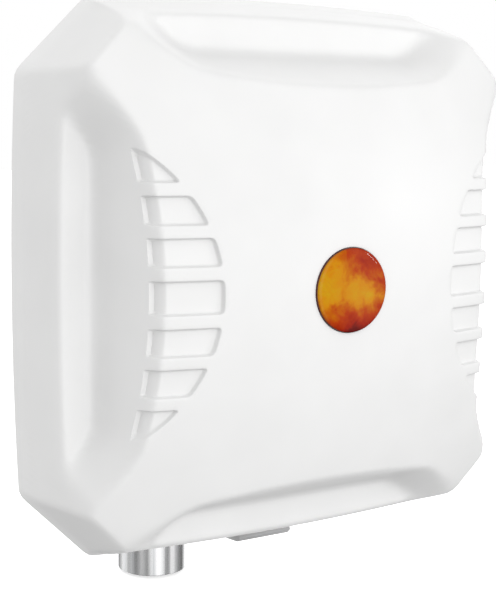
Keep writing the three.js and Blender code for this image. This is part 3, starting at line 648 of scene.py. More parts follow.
def add_thread(bm, material, radius, pitch, low, length, axis, at):
    ridge = grown(THREAD, material, Radius=(radius - 0.2 * pitch) * MM, Pitch=pitch * MM,
                  Length=length * MM, Depth=0.4 * pitch * MM)
    place = Matrix.Translation(Vector(at) * MM) @ TURN_TO[axis] @ Matrix.Translation((0, 0, low * MM))
    add_mesh(bm, ridge, place)


# ---- radome surface -----------------------------------------------------------------------

HALF_X = 130.8                    # half width and half height at the corners
HALF_Z = 131.8
BOW = 2.4                         # how far each side bows out at its middle
BOW_SPAN = 94.7                   # where a side's bow has died away
CORNER_SUM = 227.2                # |x| + |z| on the chamfered corners
WALL = 3.0
DOME_TOP = 77.15
DOME_X = 0.00126
DOME_Z = 0.00169
SHELF = 29.5
SIDE_CLIMB = ([0, 3.2, 7.6, 14.4], [0, 6, 23, 44])
CORNER_CLIMB = ([0, 2, 5, 9], [0, 6, 23, 44])
CREASE_FILLET = 8.0
SHOULDER_FILLET = 6.5
FACE_FILLET = 3.5
CORNER_FILLET = 6.0
LIP_INSET = 6.2
LEDGE_INSET = 10.0
LEDGE_H = 5.3
INNER_START_H = 14.0              # where the inner surface starts, above the ledge
INNER_ROWS = 16
INNER_MIDDLE_R = 50.0             # the inner surface's last ring, closed with one flat face

POCKET_DEPTH = 2.3
POCKET_ARC_R = 76.0
POCKET_INNER_X = 64.3
POCKET_ROWS = ((-7.4, 7.4), (13.35, 25.7), (31.2, 43.7), (49.4, 64.2))
POCKET_PAST_EDGE = 2.75           # how far each pocket runs past the face's edge
POCKET_ROUNDING = 2.2
# Offsets from a pocket's outline, and how far down the step each loop lies.
POCKET_LOOPS = ((0.45, 0.0), (0.15, 0.05), (-0.08, 0.25), (-0.38, 0.75), (-0.7, 0.95), (-1.1, 1.0))

DIRECTIONS = 360
OUTLINE = np.arange(DIRECTIONS) * 2 * math.pi / DIRECTIONS
INSIDE_EDGES = 1                  # keep only the triangles within the given edges
DOME_R = 84.0                     # inside this the front is meshed in even rows
DOME_STEP = 2.6
ROW_STEP = DOME_STEP * 0.87       # about the height of an even-sided triangle
WALL_STEP = 1.7

SEAT_R = 19.65                    # the shallow seat that the badge sits in
SEAT_H = 75.6
# Radii of the seat's wall loops, and how far down the step each lies.
SEAT_LOOPS = ((20.1, 0.0), (19.8, 0.05), (19.66, 0.3), (19.63, 0.85), (19.4, 1.0))


def climb(inset, knots):
    """Height reached on a drafted wall at a given inset; the end stretches carry on straight."""
    insets, heights = knots
    value = np.interp(inset, insets, heights)
    below = (inset - insets[0]) * heights[1] / insets[1]
    top_slope = (heights[-1] - heights[-2]) / (insets[-1] - insets[-2])
    above = heights[-1] + (inset - insets[-1]) * top_slope
    value = np.where(inset < insets[0], below, value)
    return np.where(inset > insets[-1], above, value)


def soft_min(a, b, k):
    return np.minimum(a, b) - np.maximum(k - np.abs(a - b), 0) ** 2 / (4 * k)


def soft_max(a, b, k):
    return -soft_min(-a, -b, k)


def soft_ramp(x, w):
    bend = (x + w) ** 2 / (4 * w)
    return np.where(x < -w, 0.0, np.where(x > w, x, bend))


def face_edge(s):
    return 92.3 + s * s / 850 + 0.5 * soft_ramp(s - 70, 8)


def crease_line(s):
    return 107.1 + 0.76 * soft_ramp(s - 64, 8)


def dome(x, z):
    return DOME_TOP - DOME_X * x * x - DOME_Z * z * z


def front_height(x, z, wall=0.0):
    """Height of the radome's surface, offset inward by wall, over the point (x, z)."""
    x, z = np.abs(x), np.abs(z)
    d, s = np.maximum(x, z), np.minimum(x, z)
    bow = BOW * (1 - (s / BOW_SPAN) ** 2)
    upright = np.clip((z - x) / 60 + 0.5, 0, 1)
    half = HALF_X + (HALF_Z - HALF_X) * upright
    side = climb(half + bow - wall - d, SIDE_CLIMB)
    corner = climb((CORNER_SUM - s - d) / math.sqrt(2) - wall, CORNER_CLIMB)
    edge, crease = face_edge(s), crease_line(s)
    edge_height = np.where(x > z, dome(edge, s), dome(s, edge))
    rise = (crease - d - 1.07 * wall) / (crease - edge)
    inner_wall = SHELF + rise * (edge_height - SHELF)
    scoop = soft_max(SHELF - wall, inner_wall, CREASE_FILLET)
    flank = soft_min(side, scoop, SHOULDER_FILLET)
    face = soft_min(flank, dome(x, z) - wall, FACE_FILLET)
    return soft_min(face, corner, CORNER_FILLET)


def contour(angle, wall, h):
    """Distance from the centre, in each direction, at which the surface has height h."""
    low, high = np.full_like(angle, 60.0), np.full_like(angle, 190.0)
    for _ in range(44):
        r = (low + high) / 2
        inside = front_height(r * np.cos(angle), r * np.sin(angle), wall) > h
        low, high = np.where(inside, r, low), np.where(inside, high, r)
    return low


def pocket_floor(x, z):
    """Height of a pocket's floor: the surface set back, ending on a ledge past the face edge."""
    outer = front_height(x, z)
    end = face_edge(np.abs(z)) + POCKET_PAST_EDGE
    ledge = front_height(end, z)
    return np.minimum(outer, np.maximum(front_height(x, z, POCKET_DEPTH), ledge))


def rounded(corners, radius, step):
    """A closed outline through the corners, each rounded, with points about step apart."""
    count = len(corners)
    points = []
    ends = []
    for i in range(count):
        here = np.array(corners[i])
        before = np.array(corners[i - 1]) - here
        after = np.array(corners[(i + 1) % count]) - here
        reach = min(radius, 0.45 * np.linalg.norm(before), 0.45 * np.linalg.norm(after))
        ends.append((here + before / np.linalg.norm(before) * reach, here,
                     here + after / np.linalg.norm(after) * reach))
    for i in range(count):
        a, b, c = ends[i]
        for t in np.linspace(0, 1, 7):
            points.append((1 - t) ** 2 * a + 2 * t * (1 - t) * b + t * t * c)
        start = ends[(i + 1) % count][0]
        pieces = max(1, int(np.linalg.norm(start - c) / step))
        for k in range(1, pieces):
            points.append(c + (start - c) * k / pieces)
    return np.array(points)


def pocket_outline(low, high):
    """Outline of a right-hand pocket: an arc inside, straight top and bottom, open outside."""
    centre = POCKET_INNER_X + POCKET_ARC_R

    def arc_x(z):
        return centre - math.sqrt(POCKET_ARC_R ** 2 - z * z)

    outer_low = float(face_edge(np.array(abs(low)))) + POCKET_PAST_EDGE + 2.0
    outer_high = float(face_edge(np.array(abs(high)))) + POCKET_PAST_EDGE + 2.0
    middle = (low + high) / 2
    chord = (arc_x(low) + arc_x(high)) / 2
    bulge = arc_x(middle) - chord
    outline = rounded([(arc_x(low), low), (outer_low, low), (outer_high, high), (arc_x(high), high)],
                      POCKET_ROUNDING, 0.9)
    along = (outline[:, 1] - low) / (high - low)
    inner_side = outline[:, 0] < np.interp(along, [0, 1], [arc_x(low), arc_x(high)]) + 3.0
    outline[inner_side, 0] += bulge * 4 * (along * (1 - along))[inner_side]
    return outline


def offset(outline, distance):
    """The outline moved out along its own normals; its points run anticlockwise."""
    ahead = np.roll(outline, -1, axis=0) - np.roll(outline, 1, axis=0)
    ahead /= np.linalg.norm(ahead, axis=1)[:, None]
    return outline + distance * np.stack([ahead[:, 1], -ahead[:, 0]], axis=1)


def signed_distance(points, outline):
    """Distance of each point to a closed outline, negative inside."""
    a = outline
    b = np.roll(outline, -1, axis=0)
    best = np.full(len(points), 1e9)
    inside = np.zeros(len(points), bool)
    for (ax, az), (bx, bz) in zip(a, b):
        ex, ez = bx - ax, bz - az
        t = np.clip(((points[:, 0] - ax) * ex + (points[:, 1] - az) * ez) / (ex * ex + ez * ez), 0, 1)
        gap = np.hypot(points[:, 0] - ax - t * ex, points[:, 1] - az - t * ez)
        best = np.minimum(best, gap)
        crosses = (az > points[:, 1]) != (bz > points[:, 1])
        with np.errstate(divide="ignore", invalid="ignore"):
            where = ax + (points[:, 1] - az) * ex / ez
        inside ^= crosses & (points[:, 0] < where)
    return np.where(inside, -best, best)


def wall_points(angles):
    """Points of the right half outside the dome's middle, evenly spaced along the surface."""
    points = []
    for angle, start in zip(angles, contour(angles, 0.0, 0.0)):
        r = np.linspace(start, DOME_R - 20, 1200)
        h = front_height(r * np.cos(angle), r * np.sin(angle))
        travel = np.concatenate([[0], np.cumsum(np.hypot(np.diff(r), np.diff(h)))])
        even = np.interp(np.linspace(0, travel[-1], int(travel[-1] / WALL_STEP)), travel, r)
        points.extend((q * math.cos(angle), q * math.sin(angle)) for q in even[1:] if q > DOME_R)
    return np.array(points)


def dome_points():
    """Points of the right half of the dome's middle, in staggered rows."""
    points = []
    rows = int(DOME_R / ROW_STEP)
    for row in range(-rows, rows + 1):
        z = row * ROW_STEP
        shift = DOME_STEP / 2 if row % 2 else 0.0
        for k in range(int(DOME_R / DOME_STEP) + 2):
            x = k * DOME_STEP + (shift if k else 0.0)
            if math.hypot(x, z) < DOME_R - DOME_STEP * 0.4:
                points.append((x, z))
    return np.array(points)


class Surface:
    """Points with heights, and edges that the triangulation must keep."""

    def __init__(self, points):
        self.points = points
        self.heights = front_height(points[:, 0], points[:, 1])
        self.edges = []

    def clear(self, gap):
        self.points = self.points[gap > 1.0]
        self.heights = self.heights[gap > 1.0]

    def chain(self, points, heights, closed):
        first = len(self.points)
        count = len(points)
        self.points = np.concatenate([self.points, points])
        self.heights = np.concatenate([self.heights, heights])
        last = count if closed else count - 1
        self.edges.extend((first + i, first + (i + 1) % count) for i in range(last))

    def scatter(self, points, heights):
        self.points = np.concatenate([self.points, points])
        self.heights = np.concatenate([self.heights, heights])


def pocket_grid(low, high):
    """Points over a pocket's floor, closer together where it meets the ledge."""
    points = []
    for z in np.arange(low + 1.8, high - 1.7, 1.25):
        end = float(face_edge(abs(z))) + POCKET_PAST_EDGE
        stations = np.concatenate([np.arange(60, end - 6, 1.6), np.arange(end - 6, end + 1.4, 0.4)])
        points.extend((x, z) for x in stations)
    return np.array(points)


def pocket_outlines():
    """Every right-hand pocket as (bottom, top, outline)."""
    pockets = []
    for low, high in POCKET_ROWS:
        for sign in ((1,) if low < 0 else (1, -1)):
            bottom, top = sorted((sign * low, sign * high))
            pockets.append((bottom, top, pocket_outline(bottom, top)))
    return pockets


def make_room(surface, pockets):
    """Drops the points too near a pocket's or the badge seat's edge, before the loops go in."""
    for _, _, outline in pockets:
        surface.clear(signed_distance(surface.points, outline))
    radius = np.hypot(surface.points[:, 0], surface.points[:, 1])
    surface.clear(np.abs(radius - SEAT_R + 0.1) + 0.4)
    radius = np.hypot(surface.points[:, 0], surface.points[:, 1])
    surface.heights = np.where(radius < SEAT_R, SEAT_H, surface.heights)


def add_pockets(surface, pockets):
    """Each pocket's step as nested loops, and its floor."""
    for bottom, top, outline in pockets:
        grid = pocket_grid(bottom, top)
        grid = grid[signed_distance(grid, outline) < -1.5]
        for shift, share in POCKET_LOOPS:
            loop = offset(outline, shift)
            outer = front_height(loop[:, 0], loop[:, 1])
            floor = pocket_floor(loop[:, 0], loop[:, 1])
            surface.chain(loop, outer + (floor - outer) * share, closed=True)
        surface.scatter(grid, pocket_floor(grid[:, 0], grid[:, 1]))


def add_badge_seat(surface):
    turn = np.linspace(-math.pi / 2, math.pi / 2, 61)
    for radius, share in SEAT_LOOPS:
        x = radius * np.cos(turn)
        x[[0, -1]] = 0.0
        z = radius * np.sin(turn)
        outer = front_height(x, z)
        surface.chain(np.stack([x, z], 1), outer + (SEAT_H - outer) * share, closed=False)


def keep_middle_line(surface):
    """Edges along x = 0, so that the two halves meet."""
    on_line = np.where(surface.points[:, 0] == 0)[0]
    order = on_line[np.argsort(surface.points[on_line, 1])]
    surface.edges.extend(zip(order[:-1].tolist(), order[1:].tolist()))


def front_half():
    """The right half of the front as flat points, heights and triangles."""
    angles = np.linspace(-math.pi / 2, math.pi / 2, DIRECTIONS // 2 + 1)
    points = np.concatenate([wall_points(angles), dome_points()])
    points[np.abs(points[:, 0]) < 1e-9, 0] = 0.0
    surface = Surface(points)
    pockets = pocket_outlines()
    make_room(surface, pockets)
    edge = contour(angles, 0.0, 0.0)
    rim = np.stack([edge * np.cos(angles), edge * np.sin(angles)], 1)
    rim[[0, -1], 0] = 0.0
    surface.chain(rim, np.zeros(len(rim)), closed=False)
    add_pockets(surface, pockets)
    add_badge_seat(surface)
    keep_middle_line(surface)
    flat = [Vector(p) for p in surface.points]
    made = geometry.delaunay_2d_cdt(flat, surface.edges, [], INSIDE_EDGES, 1e-5)
    verts, faces, sources = made[0], made[2], made[3]
    heights = []
    for vert, source in zip(verts, sources):
        if not source:
            gap = np.hypot(surface.points[:, 0] - vert.x, surface.points[:, 1] - vert.y)
            source = [int(np.argmin(gap))]
        heights.append(surface.heights[source[0]])
    return verts, heights, faces


def panel_ring(radii, heights):
    """One ring of points of the panel, a point for each outline direction."""
    heights = np.broadcast_to(heights, radii.shape)
    return [panel_point(r * math.cos(a), h, r * math.sin(a))
            for r, h, a in zip(radii, heights, OUTLINE)]


def make_radome():
    """The front shell: both halves of the front, the rim and seal ledge, and the inner surface."""
    bm = bmesh.new()
    verts, heights, faces = front_half()
    for side in (1, -1):
        made = [bm.verts.new(panel_point(side * v.x, h, v.y)) for v, h in zip(verts, heights)]
        for face in faces:
            bm.faces.new([made[i] for i in (face if side > 0 else reversed(face))])
    lip = contour(OUTLINE, LIP_INSET, 0.0)
    start = contour(OUTLINE, WALL, INNER_START_H)
    rings = [panel_ring(contour(OUTLINE, 0.0, 0.0), 0.0), panel_ring(lip, 0.0),
             panel_ring(lip, LEDGE_H), panel_ring(contour(OUTLINE, LEDGE_INSET, 0.0), LEDGE_H)]
    for share in np.linspace(0, 1, INNER_ROWS):
        r = start + (INNER_MIDDLE_R - start) * share
        inner = front_height(r * np.cos(OUTLINE), r * np.sin(OUTLINE), WALL)
        rings.append(panel_ring(r, inner))
    loft(bm, rings)
    bm.faces.new([bm.verts.new(p) for p in rings[-1]])
    return to_piece("radome_shell", bm, "panel", RADOME_WHITE, ["front_radome"],
                    angle=50)


# ---- badge --------------------------------------------------------------------------------

BADGE_SIDES = 96
BADGE_AT = (0.0, REAR_Y, PANEL_Z)
DISC_BACK = -75.8                 # along Y from the rear plane, so forward is negative
DISC_FRONT = -77.45


def make_badge():
    """The printed disc, and the clear lens that lies on it."""
    rim = bmesh.new()
    disc = [(0, DISC_BACK), (BADGE_R, DISC_BACK), (BADGE_R, DISC_FRONT), (0, DISC_FRONT)]
    turned(rim, disc, "Y", BADGE_AT, BADGE_SIDES, ease=0.25)
    to_piece("badge_rim", rim, "panel", BADGE_INK, ["badge_disc"])
    lens = [(0, -77.3), (19.35, -77.3), (19.3, -77.75), (18.8, -78.2), (17.6, -78.52),
            (15.0, -78.76), (10.0, -78.92), (5.0, -78.99), (0, -79.0)]
    dome_mesh = bmesh.new()
    turned(dome_mesh, lens, "Y", BADGE_AT, BADGE_SIDES, ease=0.5)
    to_piece("badge_lens", dome_mesh, "panel", BADGE_RESIN, ["badge_dome"], angle=60)


# ---- rear cover ---------------------------------------------------------------------------

COVER_INSET = 6.6
COVER_T = 3.0
PAD_HALF = 50.0
PAD_T = 4.0
RIB_T = 3.0
RIB_FAR = 108.0
RIB_OFFSET = 42.0                 # from the pad's middle to a side rib
SIDE_POST = 116.0                 # cover screws at the sides, from the centre
CORNER_POST = 96.0                # and at the corners, along each axis


def make_rib(near, far):
    """A rib of the rear cover, running along X from near to far."""
    bm = bmesh.new()
    rounded_box(bm, (near, -0.5, -RIB_T / 2), (far, PAD_T - 1, RIB_T / 2), 0.8)
    return as_mesh(bm)


def make_cover():
    """The rear cover: a plate with an eased edge, a raised pad and ribs out from the pad."""
    bm = bmesh.new()
    ease = 0.5
    rings = [panel_ring(contour(OUTLINE, COVER_INSET, 0.0), COVER_T),
             panel_ring(contour(OUTLINE, COVER_INSET, 0.0), ease),
             panel_ring(contour(OUTLINE, COVER_INSET + ease, 0.0), 0.0)]
    loft(bm, rings, capped=True)
    rounded_box(bm, (-PAD_HALF, REAR_Y - 0.5, PANEL_Z - PAD_HALF),
                (PAD_HALF, REAR_Y + PAD_T, PANEL_Z + PAD_HALF), 1.2)
    place = Matrix.Translation((0, REAR_Y * MM, PANEL_Z * MM))
    rib = make_rib(PAD_HALF - 1, RIB_FAR)
    pairs = grown(FAN, COVER_WHITE, rib, Sides=4, Per_Side=2, Spacing=2 * RIB_OFFSET * MM)
    middles = grown(FAN, COVER_WHITE, rib, Sides=3, First_Side=-math.pi)
    add_mesh(bm, pairs, place)
    add_mesh(bm, middles, place)
    to_piece("back_cover", bm, "panel", COVER_WHITE, ["rear_cover"])


def recessed_head(shank_r, head_r, head_t, length):
    """A pan head with a cross recess, its shank running along -Y from the origin."""
    bm = bmesh.new()
    profile = [(0, -length), (shank_r, -length), (shank_r, 0), (head_r, 0), (head_r, head_t * 0.35),
               (head_r * 0.9, head_t * 0.75), (head_r * 0.6, head_t), (0, head_t)]
    turned(bm, profile, "Y", (0, 0, 0), 32, ease=0.15)
    bmesh.ops.remove_doubles(bm, verts=bm.verts, dist=MERGE)
    slot_w, slot_l, deep = head_r * 0.13, head_r * 0.55, head_t * 0.55
    head = bpy.data.objects.new("head", as_mesh(bm))
    cross = bmesh.new()
    for half_x, half_z in ((slot_l, slot_w), (slot_w, slot_l)):
        made = bmesh.ops.create_cube(cross, size=2.0)["verts"]
        for vert in made:
            narrow = 1.0 if vert.co.y > 0 else 0.45
            vert.co = Vector((vert.co.x * half_x * narrow, vert.co.y * deep + head_t,
                              vert.co.z * half_z * narrow)) * MM
    cutter = bpy.data.objects.new("cross", as_mesh(cross))
    for item in (head, cutter):
        bpy.context.scene.collection.objects.link(item)
    cut = head.modifiers.new("cut", "BOOLEAN")
    cut.object = cutter
    cut.operation = "DIFFERENCE"
    cut.solver = "EXACT"
    cut.use_self = True
    graph = bpy.context.evaluated_depsgraph_get()
    mesh = bpy.data.meshes.new_from_object(head.evaluated_get(graph))
    bpy.data.objects.remove(head)
    bpy.data.objects.remove(cutter)
    return mesh


def make_cover_screws():
    bm = bmesh.new()
    for radius, first in ((SIDE_POST, 0.0), (CORNER_POST * math.sqrt(2), math.pi / 4)):
        screw = recessed_head(1.7, 3.4, 2.0, 9.0)
        screw.transform(Matrix.Translation((radius * MM, 0, 0)))
        ring = grown(FAN, STAINLESS, screw, Sides=4, First_Side=first)
        add_mesh(bm, ring, Matrix.Translation((0, (REAR_Y + 0.1) * MM, PANEL_Z * MM)))
    names = [f"cover_screw_{i}" for i in range(1, 9)]
    to_piece("cover_screws", bm, "panel", STAINLESS, names)


HEAD_H = 3.0                      # height of a bracket screw's head


def make_bracket_screws():
    seat_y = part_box("bracket_screw_1")[1][1] - HEAD_H * MM
    far_low, far_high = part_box("bracket_screw_4")
    x, z = (far_low[0] + far_high[0]) / 2, (far_low[2] + far_high[2]) / 2
    screw = recessed_head(2.5, 4.8, HEAD_H, 9.0)
    screw.transform(Matrix.Translation((x, 0, 0)))
    bm = bmesh.new()
    rows = grown(FAN, STAINLESS, screw, Sides=2, Side_Step=math.pi, Per_Side=2,
                 Spacing=2 * (z - PANEL_Z * MM))
    add_mesh(bm, rows, Matrix.Translation((0, seat_y, PANEL_Z * MM)))
    names = [f"bracket_screw_{i}" for i in range(1, 5)]
    to_piece("bracket_screws", bm, "panel", STAINLESS, names)


# ---- cowl, sockets and breather -----------------------------------------------------------

SOCKET_X = 8.0
SOCKET_Z = -112.0
SOCKET_R = 4.6


def make_cowl():
    to_piece("cowl_shell", refined("socket_cowl", 0.6, 3), "panel", COWL_GREY,
             ["socket_cowl"])


def make_sockets():
    """Two threaded coaxial sockets with a centre pin, each with its nut."""
    bm = bmesh.new()
    profile = [(0, 9.3), (2, 9.3), (2, 11.3), (5.1, 11.3), (5.1, 13.2), (4.2, 13.2), (4.2, 30),
               (3.4, 30), (3.4, 22), (0.7, 22), (0.7, 28), (0, 28)]
    for sign in (-1, 1):
        at = (sign * SOCKET_X, REAR_Y, PANEL_Z + SOCKET_Z)
        turned(bm, profile, "Y", at, 40, ease=0.2)
        add_thread(bm, NICKEL, SOCKET_R - 0.25, 0.8, 20.2, 8.6, "Y", at)
        hexagon_body(bm, 7.4, 16.3, 19.4, "Y", at, bore=4.2)
    to_piece("coax_sockets", bm, "panel", NICKEL,
             ["coax_socket_left", "coax_socket_right", "socket_nut_left", "socket_nut_right"])


def make_breather():
    """A round breather plug with twelve grip fins."""
    low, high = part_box("breather_plug")
    at = ((low[0] + high[0]) / 2 / MM, low[1] / MM, (low[2] + high[2]) / 2 / MM)
    bm = bmesh.new()
    turned(bm, [(0, 0), (6.9, 0), (6.9, 1.5), (5.6, 2.7), (0, 2.7)], "Y", at, 48, ease=0.4)
    fin = bmesh.new()
    rounded_box(fin, (5.4, 0.3, -0.5), (7.0, 2.4, 0.5), 0.2)
    fins = grown(FAN, COWL_GREY, as_mesh(fin), Sides=12, Side_Step=math.pi / 6)
    add_mesh(bm, fins, Matrix.Translation(Vector(at) * MM))
    to_piece("breather_vent", bm, "panel", COWL_GREY, ["breather_plug"])


# ---- bracket, clamp and hardware ----------------------------------------------------------

BOLT_R = 4.0
BOLT_PITCH = 1.25
HEX_CORNER = 7.4
HEAD_T = 5.3
BORE_R = 4.3                      # holes in the washers and the knob's collar
WASHER_R = 8.0
THREAD_SHARE = 0.55               # how much of a bolt is threaded, up to THREAD_MOST
THREAD_MOST = 46.0
THREAD_END = 0.8                  # plain tip past the thread


def centre_of(node_name):
    low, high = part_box(node_name)
    return tuple((a + b) / 2 / MM for a, b in zip(low, high))


def seat_of(node_name, axis):
    """Where a node starts along its axis, on its centre line, and how long it is, in mm."""
    index = "XYZ".index(axis)
    low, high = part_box(node_name)
    at = list(centre_of(node_name))
    at[index] = low[index] / MM
    return at, (high[index] - low[index]) / MM


def make_sheet_parts():
    for name, node, body in (("tilt_bracket", "panel_bracket", "panel"),
                             ("clamp_channel", "clamp_bracket", "clamp"),
                             ("rear_jaw", "clamp_jaw", "jaw")):
        to_piece(name, refined(node, 0.45), body, ZINC, [node])


def add_bolt(bm, node, axis):
    """A hexagon bolt whose head is at the low end of its axis, threaded at the other."""
    at, length = seat_of(node, axis)
    hexagon_body(bm, HEX_CORNER, 0.0, HEAD_T, axis, at, ease_low=True)
    turned(bm, [(0, HEAD_T - 1), (BOLT_R - 0.35, HEAD_T - 1), (BOLT_R - 0.35, length - 1.0),
                (BOLT_R - 1.3, length), (0, length)], axis, at, 32, ease=0.1)
    thread = min(length * THREAD_SHARE, THREAD_MOST)
    start = length - thread - THREAD_END
    add_thread(bm, STAINLESS, BOLT_R - 0.3, BOLT_PITCH, start, thread, axis, at)
    turned(bm, [(0, HEAD_T - 0.5), (BOLT_R, HEAD_T - 0.5), (BOLT_R, length - thread - 1.5),
                (0, length - thread - 1.0)], axis, at, 32, ease=0.2)


def add_washer(bm, node, axis):
    at, thick = seat_of(node, axis)
    profile = [(BORE_R, 0), (WASHER_R, 0), (WASHER_R, thick), (BORE_R, thick)]
    turned(bm, profile, axis, at, 48, ease=0.3, closed=True)


def add_nut(bm, node, axis):
    at, thick = seat_of(node, axis)
    hexagon_body(bm, HEX_CORNER, 0.0, thick, axis, at, bore=BOLT_R, ease_low=True)


def make_hardware():
    bolts = {"pivot_bolt": "X", "lock_bolt": "X", "clamp_bolt_left": "Y", "clamp_bolt_right": "Y"}
    bm = bmesh.new()
    for node, axis in bolts.items():
        add_bolt(bm, node, axis)
    add_nut(bm, "pivot_nut", "X")
    to_piece("clamp_fasteners", bm, "clamp", STAINLESS, [*bolts, "pivot_nut"])
    washers = ["pivot_washer_left", "pivot_washer_right", "lock_washer_left", "lock_washer_right"]
    bm = bmesh.new()
    for node in washers:
        add_washer(bm, node, "X")
    to_piece("tilt_washers", bm, "clamp", ZINC, washers)
    bm = bmesh.new()
    for side in ("left", "right"):
        add_nut(bm, f"jaw_nut_{side}", "Y")
    to_piece("jaw_nuts", bm, "jaw", STAINLESS, ["jaw_nut_left", "jaw_nut_right"])
    bm = bmesh.new()
    for side in ("left", "right"):
        add_washer(bm, f"jaw_washer_{side}", "Y")
    to_piece("jaw_washers", bm, "jaw", ZINC, ["jaw_washer_left", "jaw_washer_right"])


KNOB_R = 13.5                     # the grip's mean radius
LOBE_H = 2.0                      # how far its lobes stand out and its hollows go in
LOBES = 5
KNOB_SIDES = 120
COLLAR_T = 3.6


def make_knob():
    """A five-lobed grip on a collar, its lobes rounded over and its face dished."""
    low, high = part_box("lock_knob")
    middle = centre_of("lock_knob")
    at = (low[0] / MM, middle[1], middle[2])
    top = (high[0] - low[0]) / MM
    bm = bmesh.new()
    # (distance along, share of the lobed outline, inset)
    levels = [(3.0, 0.0, 5.0), (3.0, 1.0, 1.2), (3.6, 1.0, 0.2), (4.6, 1.0, 0.0),
              (top - 2.2, 1.0, 0.0), (top - 0.9, 1.0, 0.5), (top - 0.2, 1.0, 1.5), (top, 1.0, 3.0),
              (top - 0.1, 0.6, 4.2), (top - 0.8, 0.0, 5.5), (top - 0.9, 0.0, 9.0)]
    rings = []
    for w, lobed, inset in levels:
        ring = []
        for i in range(KNOB_SIDES):
            a = i * 2 * math.pi / KNOB_SIDES
            r = KNOB_R + LOBE_H * lobed * math.cos(LOBES * a) - inset
            ring.append(ring_point("X", at, r, a, w))
        rings.append(ring)
    loft(bm, rings, capped=True)
    collar = [(BORE_R, 0), (WASHER_R, 0), (WASHER_R, COLLAR_T), (BORE_R, COLLAR_T)]
    turned(bm, collar, "X", at, 48, ease=0.4, closed=True)
    to_piece("lobed_knob", bm, "knob", KNOB_BLACK, ["lock_knob"])


# ---- mast ---------------------------------------------------------------------------------

MAST_SIDES = 128
MAST_WALL = 2.0


def make_mast():
    radius = MAST_HIGH[0] / MM
    top = MAST_HIGH[2] / MM
    bore = radius - MAST_WALL
    bm = bmesh.new()
    turned(bm, [(bore, 0), (radius, 0), (radius, top), (bore, top)], "Z", (0, 0, 0), MAST_SIDES,
           ease=0.5, closed=True)
    to_piece("mast_pipe", bm, "mast", MAST_STEEL, ["mast_tube"])
    cap_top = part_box("mast_cap")[1][2] / MM
    bm = bmesh.new()
    turned(bm, [(0, top - 14), (bore - 0.3, top - 14), (bore - 0.3, top + 0.3), (radius, top + 0.3),
                (radius, top + 2), (radius - 3, cap_top - 0.5), (0, cap_top)], "Z", (0, 0, 0), 96,
           ease=0.7)
    to_piece("pipe_cap", bm, "mast", KNOB_BLACK, ["mast_cap"])


make_radome()
make_badge()
make_cover()
make_cover_screws()
make_bracket_screws()
make_cowl()
make_sockets()
make_breather()
make_sheet_parts()
make_hardware()
make_knob()
make_mast()

# ---- finishes of the solids that stay -----------------------------------------------------

KEPT_FINISHES = {
    "radome_seal": SEAL_RUBBER,
    "reflector_plate": ALUMINIUM,
    "director_plate": ALUMINIUM,
    "feed_board": BOARD_GREEN,
    "reflector_standoff": NYLON,
    "coax_lead": LEAD_JACKET,
}


def finish_kept_nodes():
    for node_name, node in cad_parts.items():
        for start, material in KEPT_FINISHES.items():
            if node_name.startswith(start):
                for slot in node.material_slots:
                    slot.material = material


finish_kept_nodes()

# ---- stage and light ----------------------------------------------------------------------

FLOOR_HALF = 6.0
FLOOR_LEVEL = -0.002              # just under the mast, in metres
EVEN_LIGHT = 0.16                 # the studio's level all round
FRONT_LIGHT = 1.84                # what the front adds
REAR_LIGHT = 6.2                  # what the rear adds, strongest 30 degrees behind each side
LIGHT_RISE = 0.07                 # sine of the front light's rise above level
UNDER_DIM = 0.50                  # how much darker it is straight below
STRIP_AT = (1.14, -1.12, 0.42)    # a small strip light that draws a bright arc on the badge
STRIP_SIZE = (0.05, 0.32)
STRIP_POWER = 2.2
BAND_COUNT = 5.0                  # dark bands round the studio
BAND_TURN = 0.6                   # radians that they are turned by
BAND_DARK = 0.30                  # their level


def make_stage():
    mesh = bpy.data.meshes.new("floor")
    corners = [(x * FLOOR_HALF, y * FLOOR_HALF, FLOOR_LEVEL)
               for x, y in ((-1, -1), (1, -1), (1, 1), (-1, 1))]
    mesh.from_pydata(corners, [], [(0, 1, 2, 3)])
    floor = bpy.data.objects.new("floor", mesh)
    bpy.context.scene.collection.objects.link(floor)
    material, _, shader = new_material("pale_floor")
    shader.inputs["Base Color"].default_value = grey(0.9)
    shader.inputs["Roughness"].default_value = 0.9
    shader.inputs["Emission Color"].default_value = grey(1.0)
    shader.inputs["Emission Strength"].default_value = 0.6
    mesh.materials.append(material)
    floor.visible_diffuse = False
    floor.visible_glossy = False


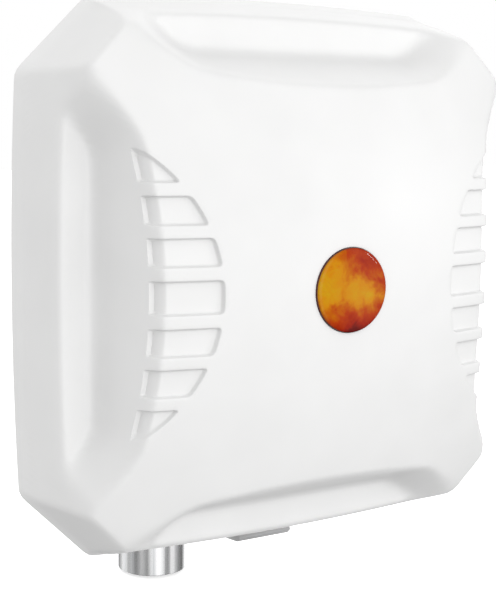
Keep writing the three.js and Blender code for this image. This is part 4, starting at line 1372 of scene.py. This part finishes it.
def make_world():
    """A soft studio all round, with dark bands that only gloss and bare metal show."""
    world = bpy.data.worlds.new("soft_studio")
    world.use_nodes = True
    world.node_tree.nodes.clear()
    n = Nodes(world.node_tree)
    direction = n.add("ShaderNodeTexCoord").outputs["Generated"]
    parts = n.add("ShaderNodeSeparateXYZ", {0: direction}).outputs
    rise = n.math("MULTIPLY", parts[2], LIGHT_RISE)
    forward = math.sqrt(1 - LIGHT_RISE ** 2)
    behind = n.math("MAXIMUM", parts[1], 0.0)
    rear = n.math("MULTIPLY", behind, n.math("SUBTRACT", 1.0, behind))
    front = n.math("MAXIMUM", n.math("MULTIPLY_ADD", parts[1], -forward, rise), 0.0)
    below = n.math("MAXIMUM", n.math("MULTIPLY", parts[2], -1.0), 0.0)
    level = n.math("MULTIPLY_ADD", front, FRONT_LIGHT, EVEN_LIGHT)
    level = n.math("MULTIPLY_ADD", rear, REAR_LIGHT, level)
    glow = n.math("MULTIPLY", level, n.math("MULTIPLY_ADD", below, -UNDER_DIM, 1.0))
    around = n.math("ARCTAN2", parts[0], parts[1])
    bands = n.math("SINE", n.math("MULTIPLY_ADD", around, BAND_COUNT, BAND_TURN))
    dark = n.span(bands, 0.35, 0.85, 1.0, BAND_DARK)
    path = n.add("ShaderNodeLightPath").outputs
    glossy = n.math("MULTIPLY", glow, dark)
    chosen = n.add("ShaderNodeMix", {0: path["Is Glossy Ray"], 2: glow, 3: glossy}).outputs[0]
    soft = n.add("ShaderNodeBackground", {0: grey(1.0), 1: chosen})
    plain = n.add("ShaderNodeBackground", {0: grey(1.0), 1: 1.0})
    mix = n.add("ShaderNodeMixShader", {0: path["Is Camera Ray"], 1: soft.outputs[0],
                                        2: plain.outputs[0]})
    out = n.add("ShaderNodeOutputWorld")
    n.tree.links.new(mix.outputs[0], out.inputs[0])
    bpy.context.scene.world = world


def add_light(name, kind, place, toward, **settings):
    data = bpy.data.lights.new(name, kind)
    for label, value in settings.items():
        setattr(data, label, value)
    light = bpy.data.objects.new(name, data)
    light.location = place
    light.rotation_euler = Vector(toward).to_track_quat("Z", "Y").to_euler()
    bpy.context.scene.collection.objects.link(light)


def make_lights():
    """The strip light, facing the panel's rear middle."""
    middle = Vector((0, REAR_Y * MM, PANEL_Z * MM))
    add_light("strip", "AREA", STRIP_AT, Vector(STRIP_AT) - middle, energy=STRIP_POWER,
              shape="RECTANGLE", size=STRIP_SIZE[0], size_y=STRIP_SIZE[1])


make_stage()
make_world()
make_lights()
bpy.context.scene.view_settings.view_transform = "Standard"
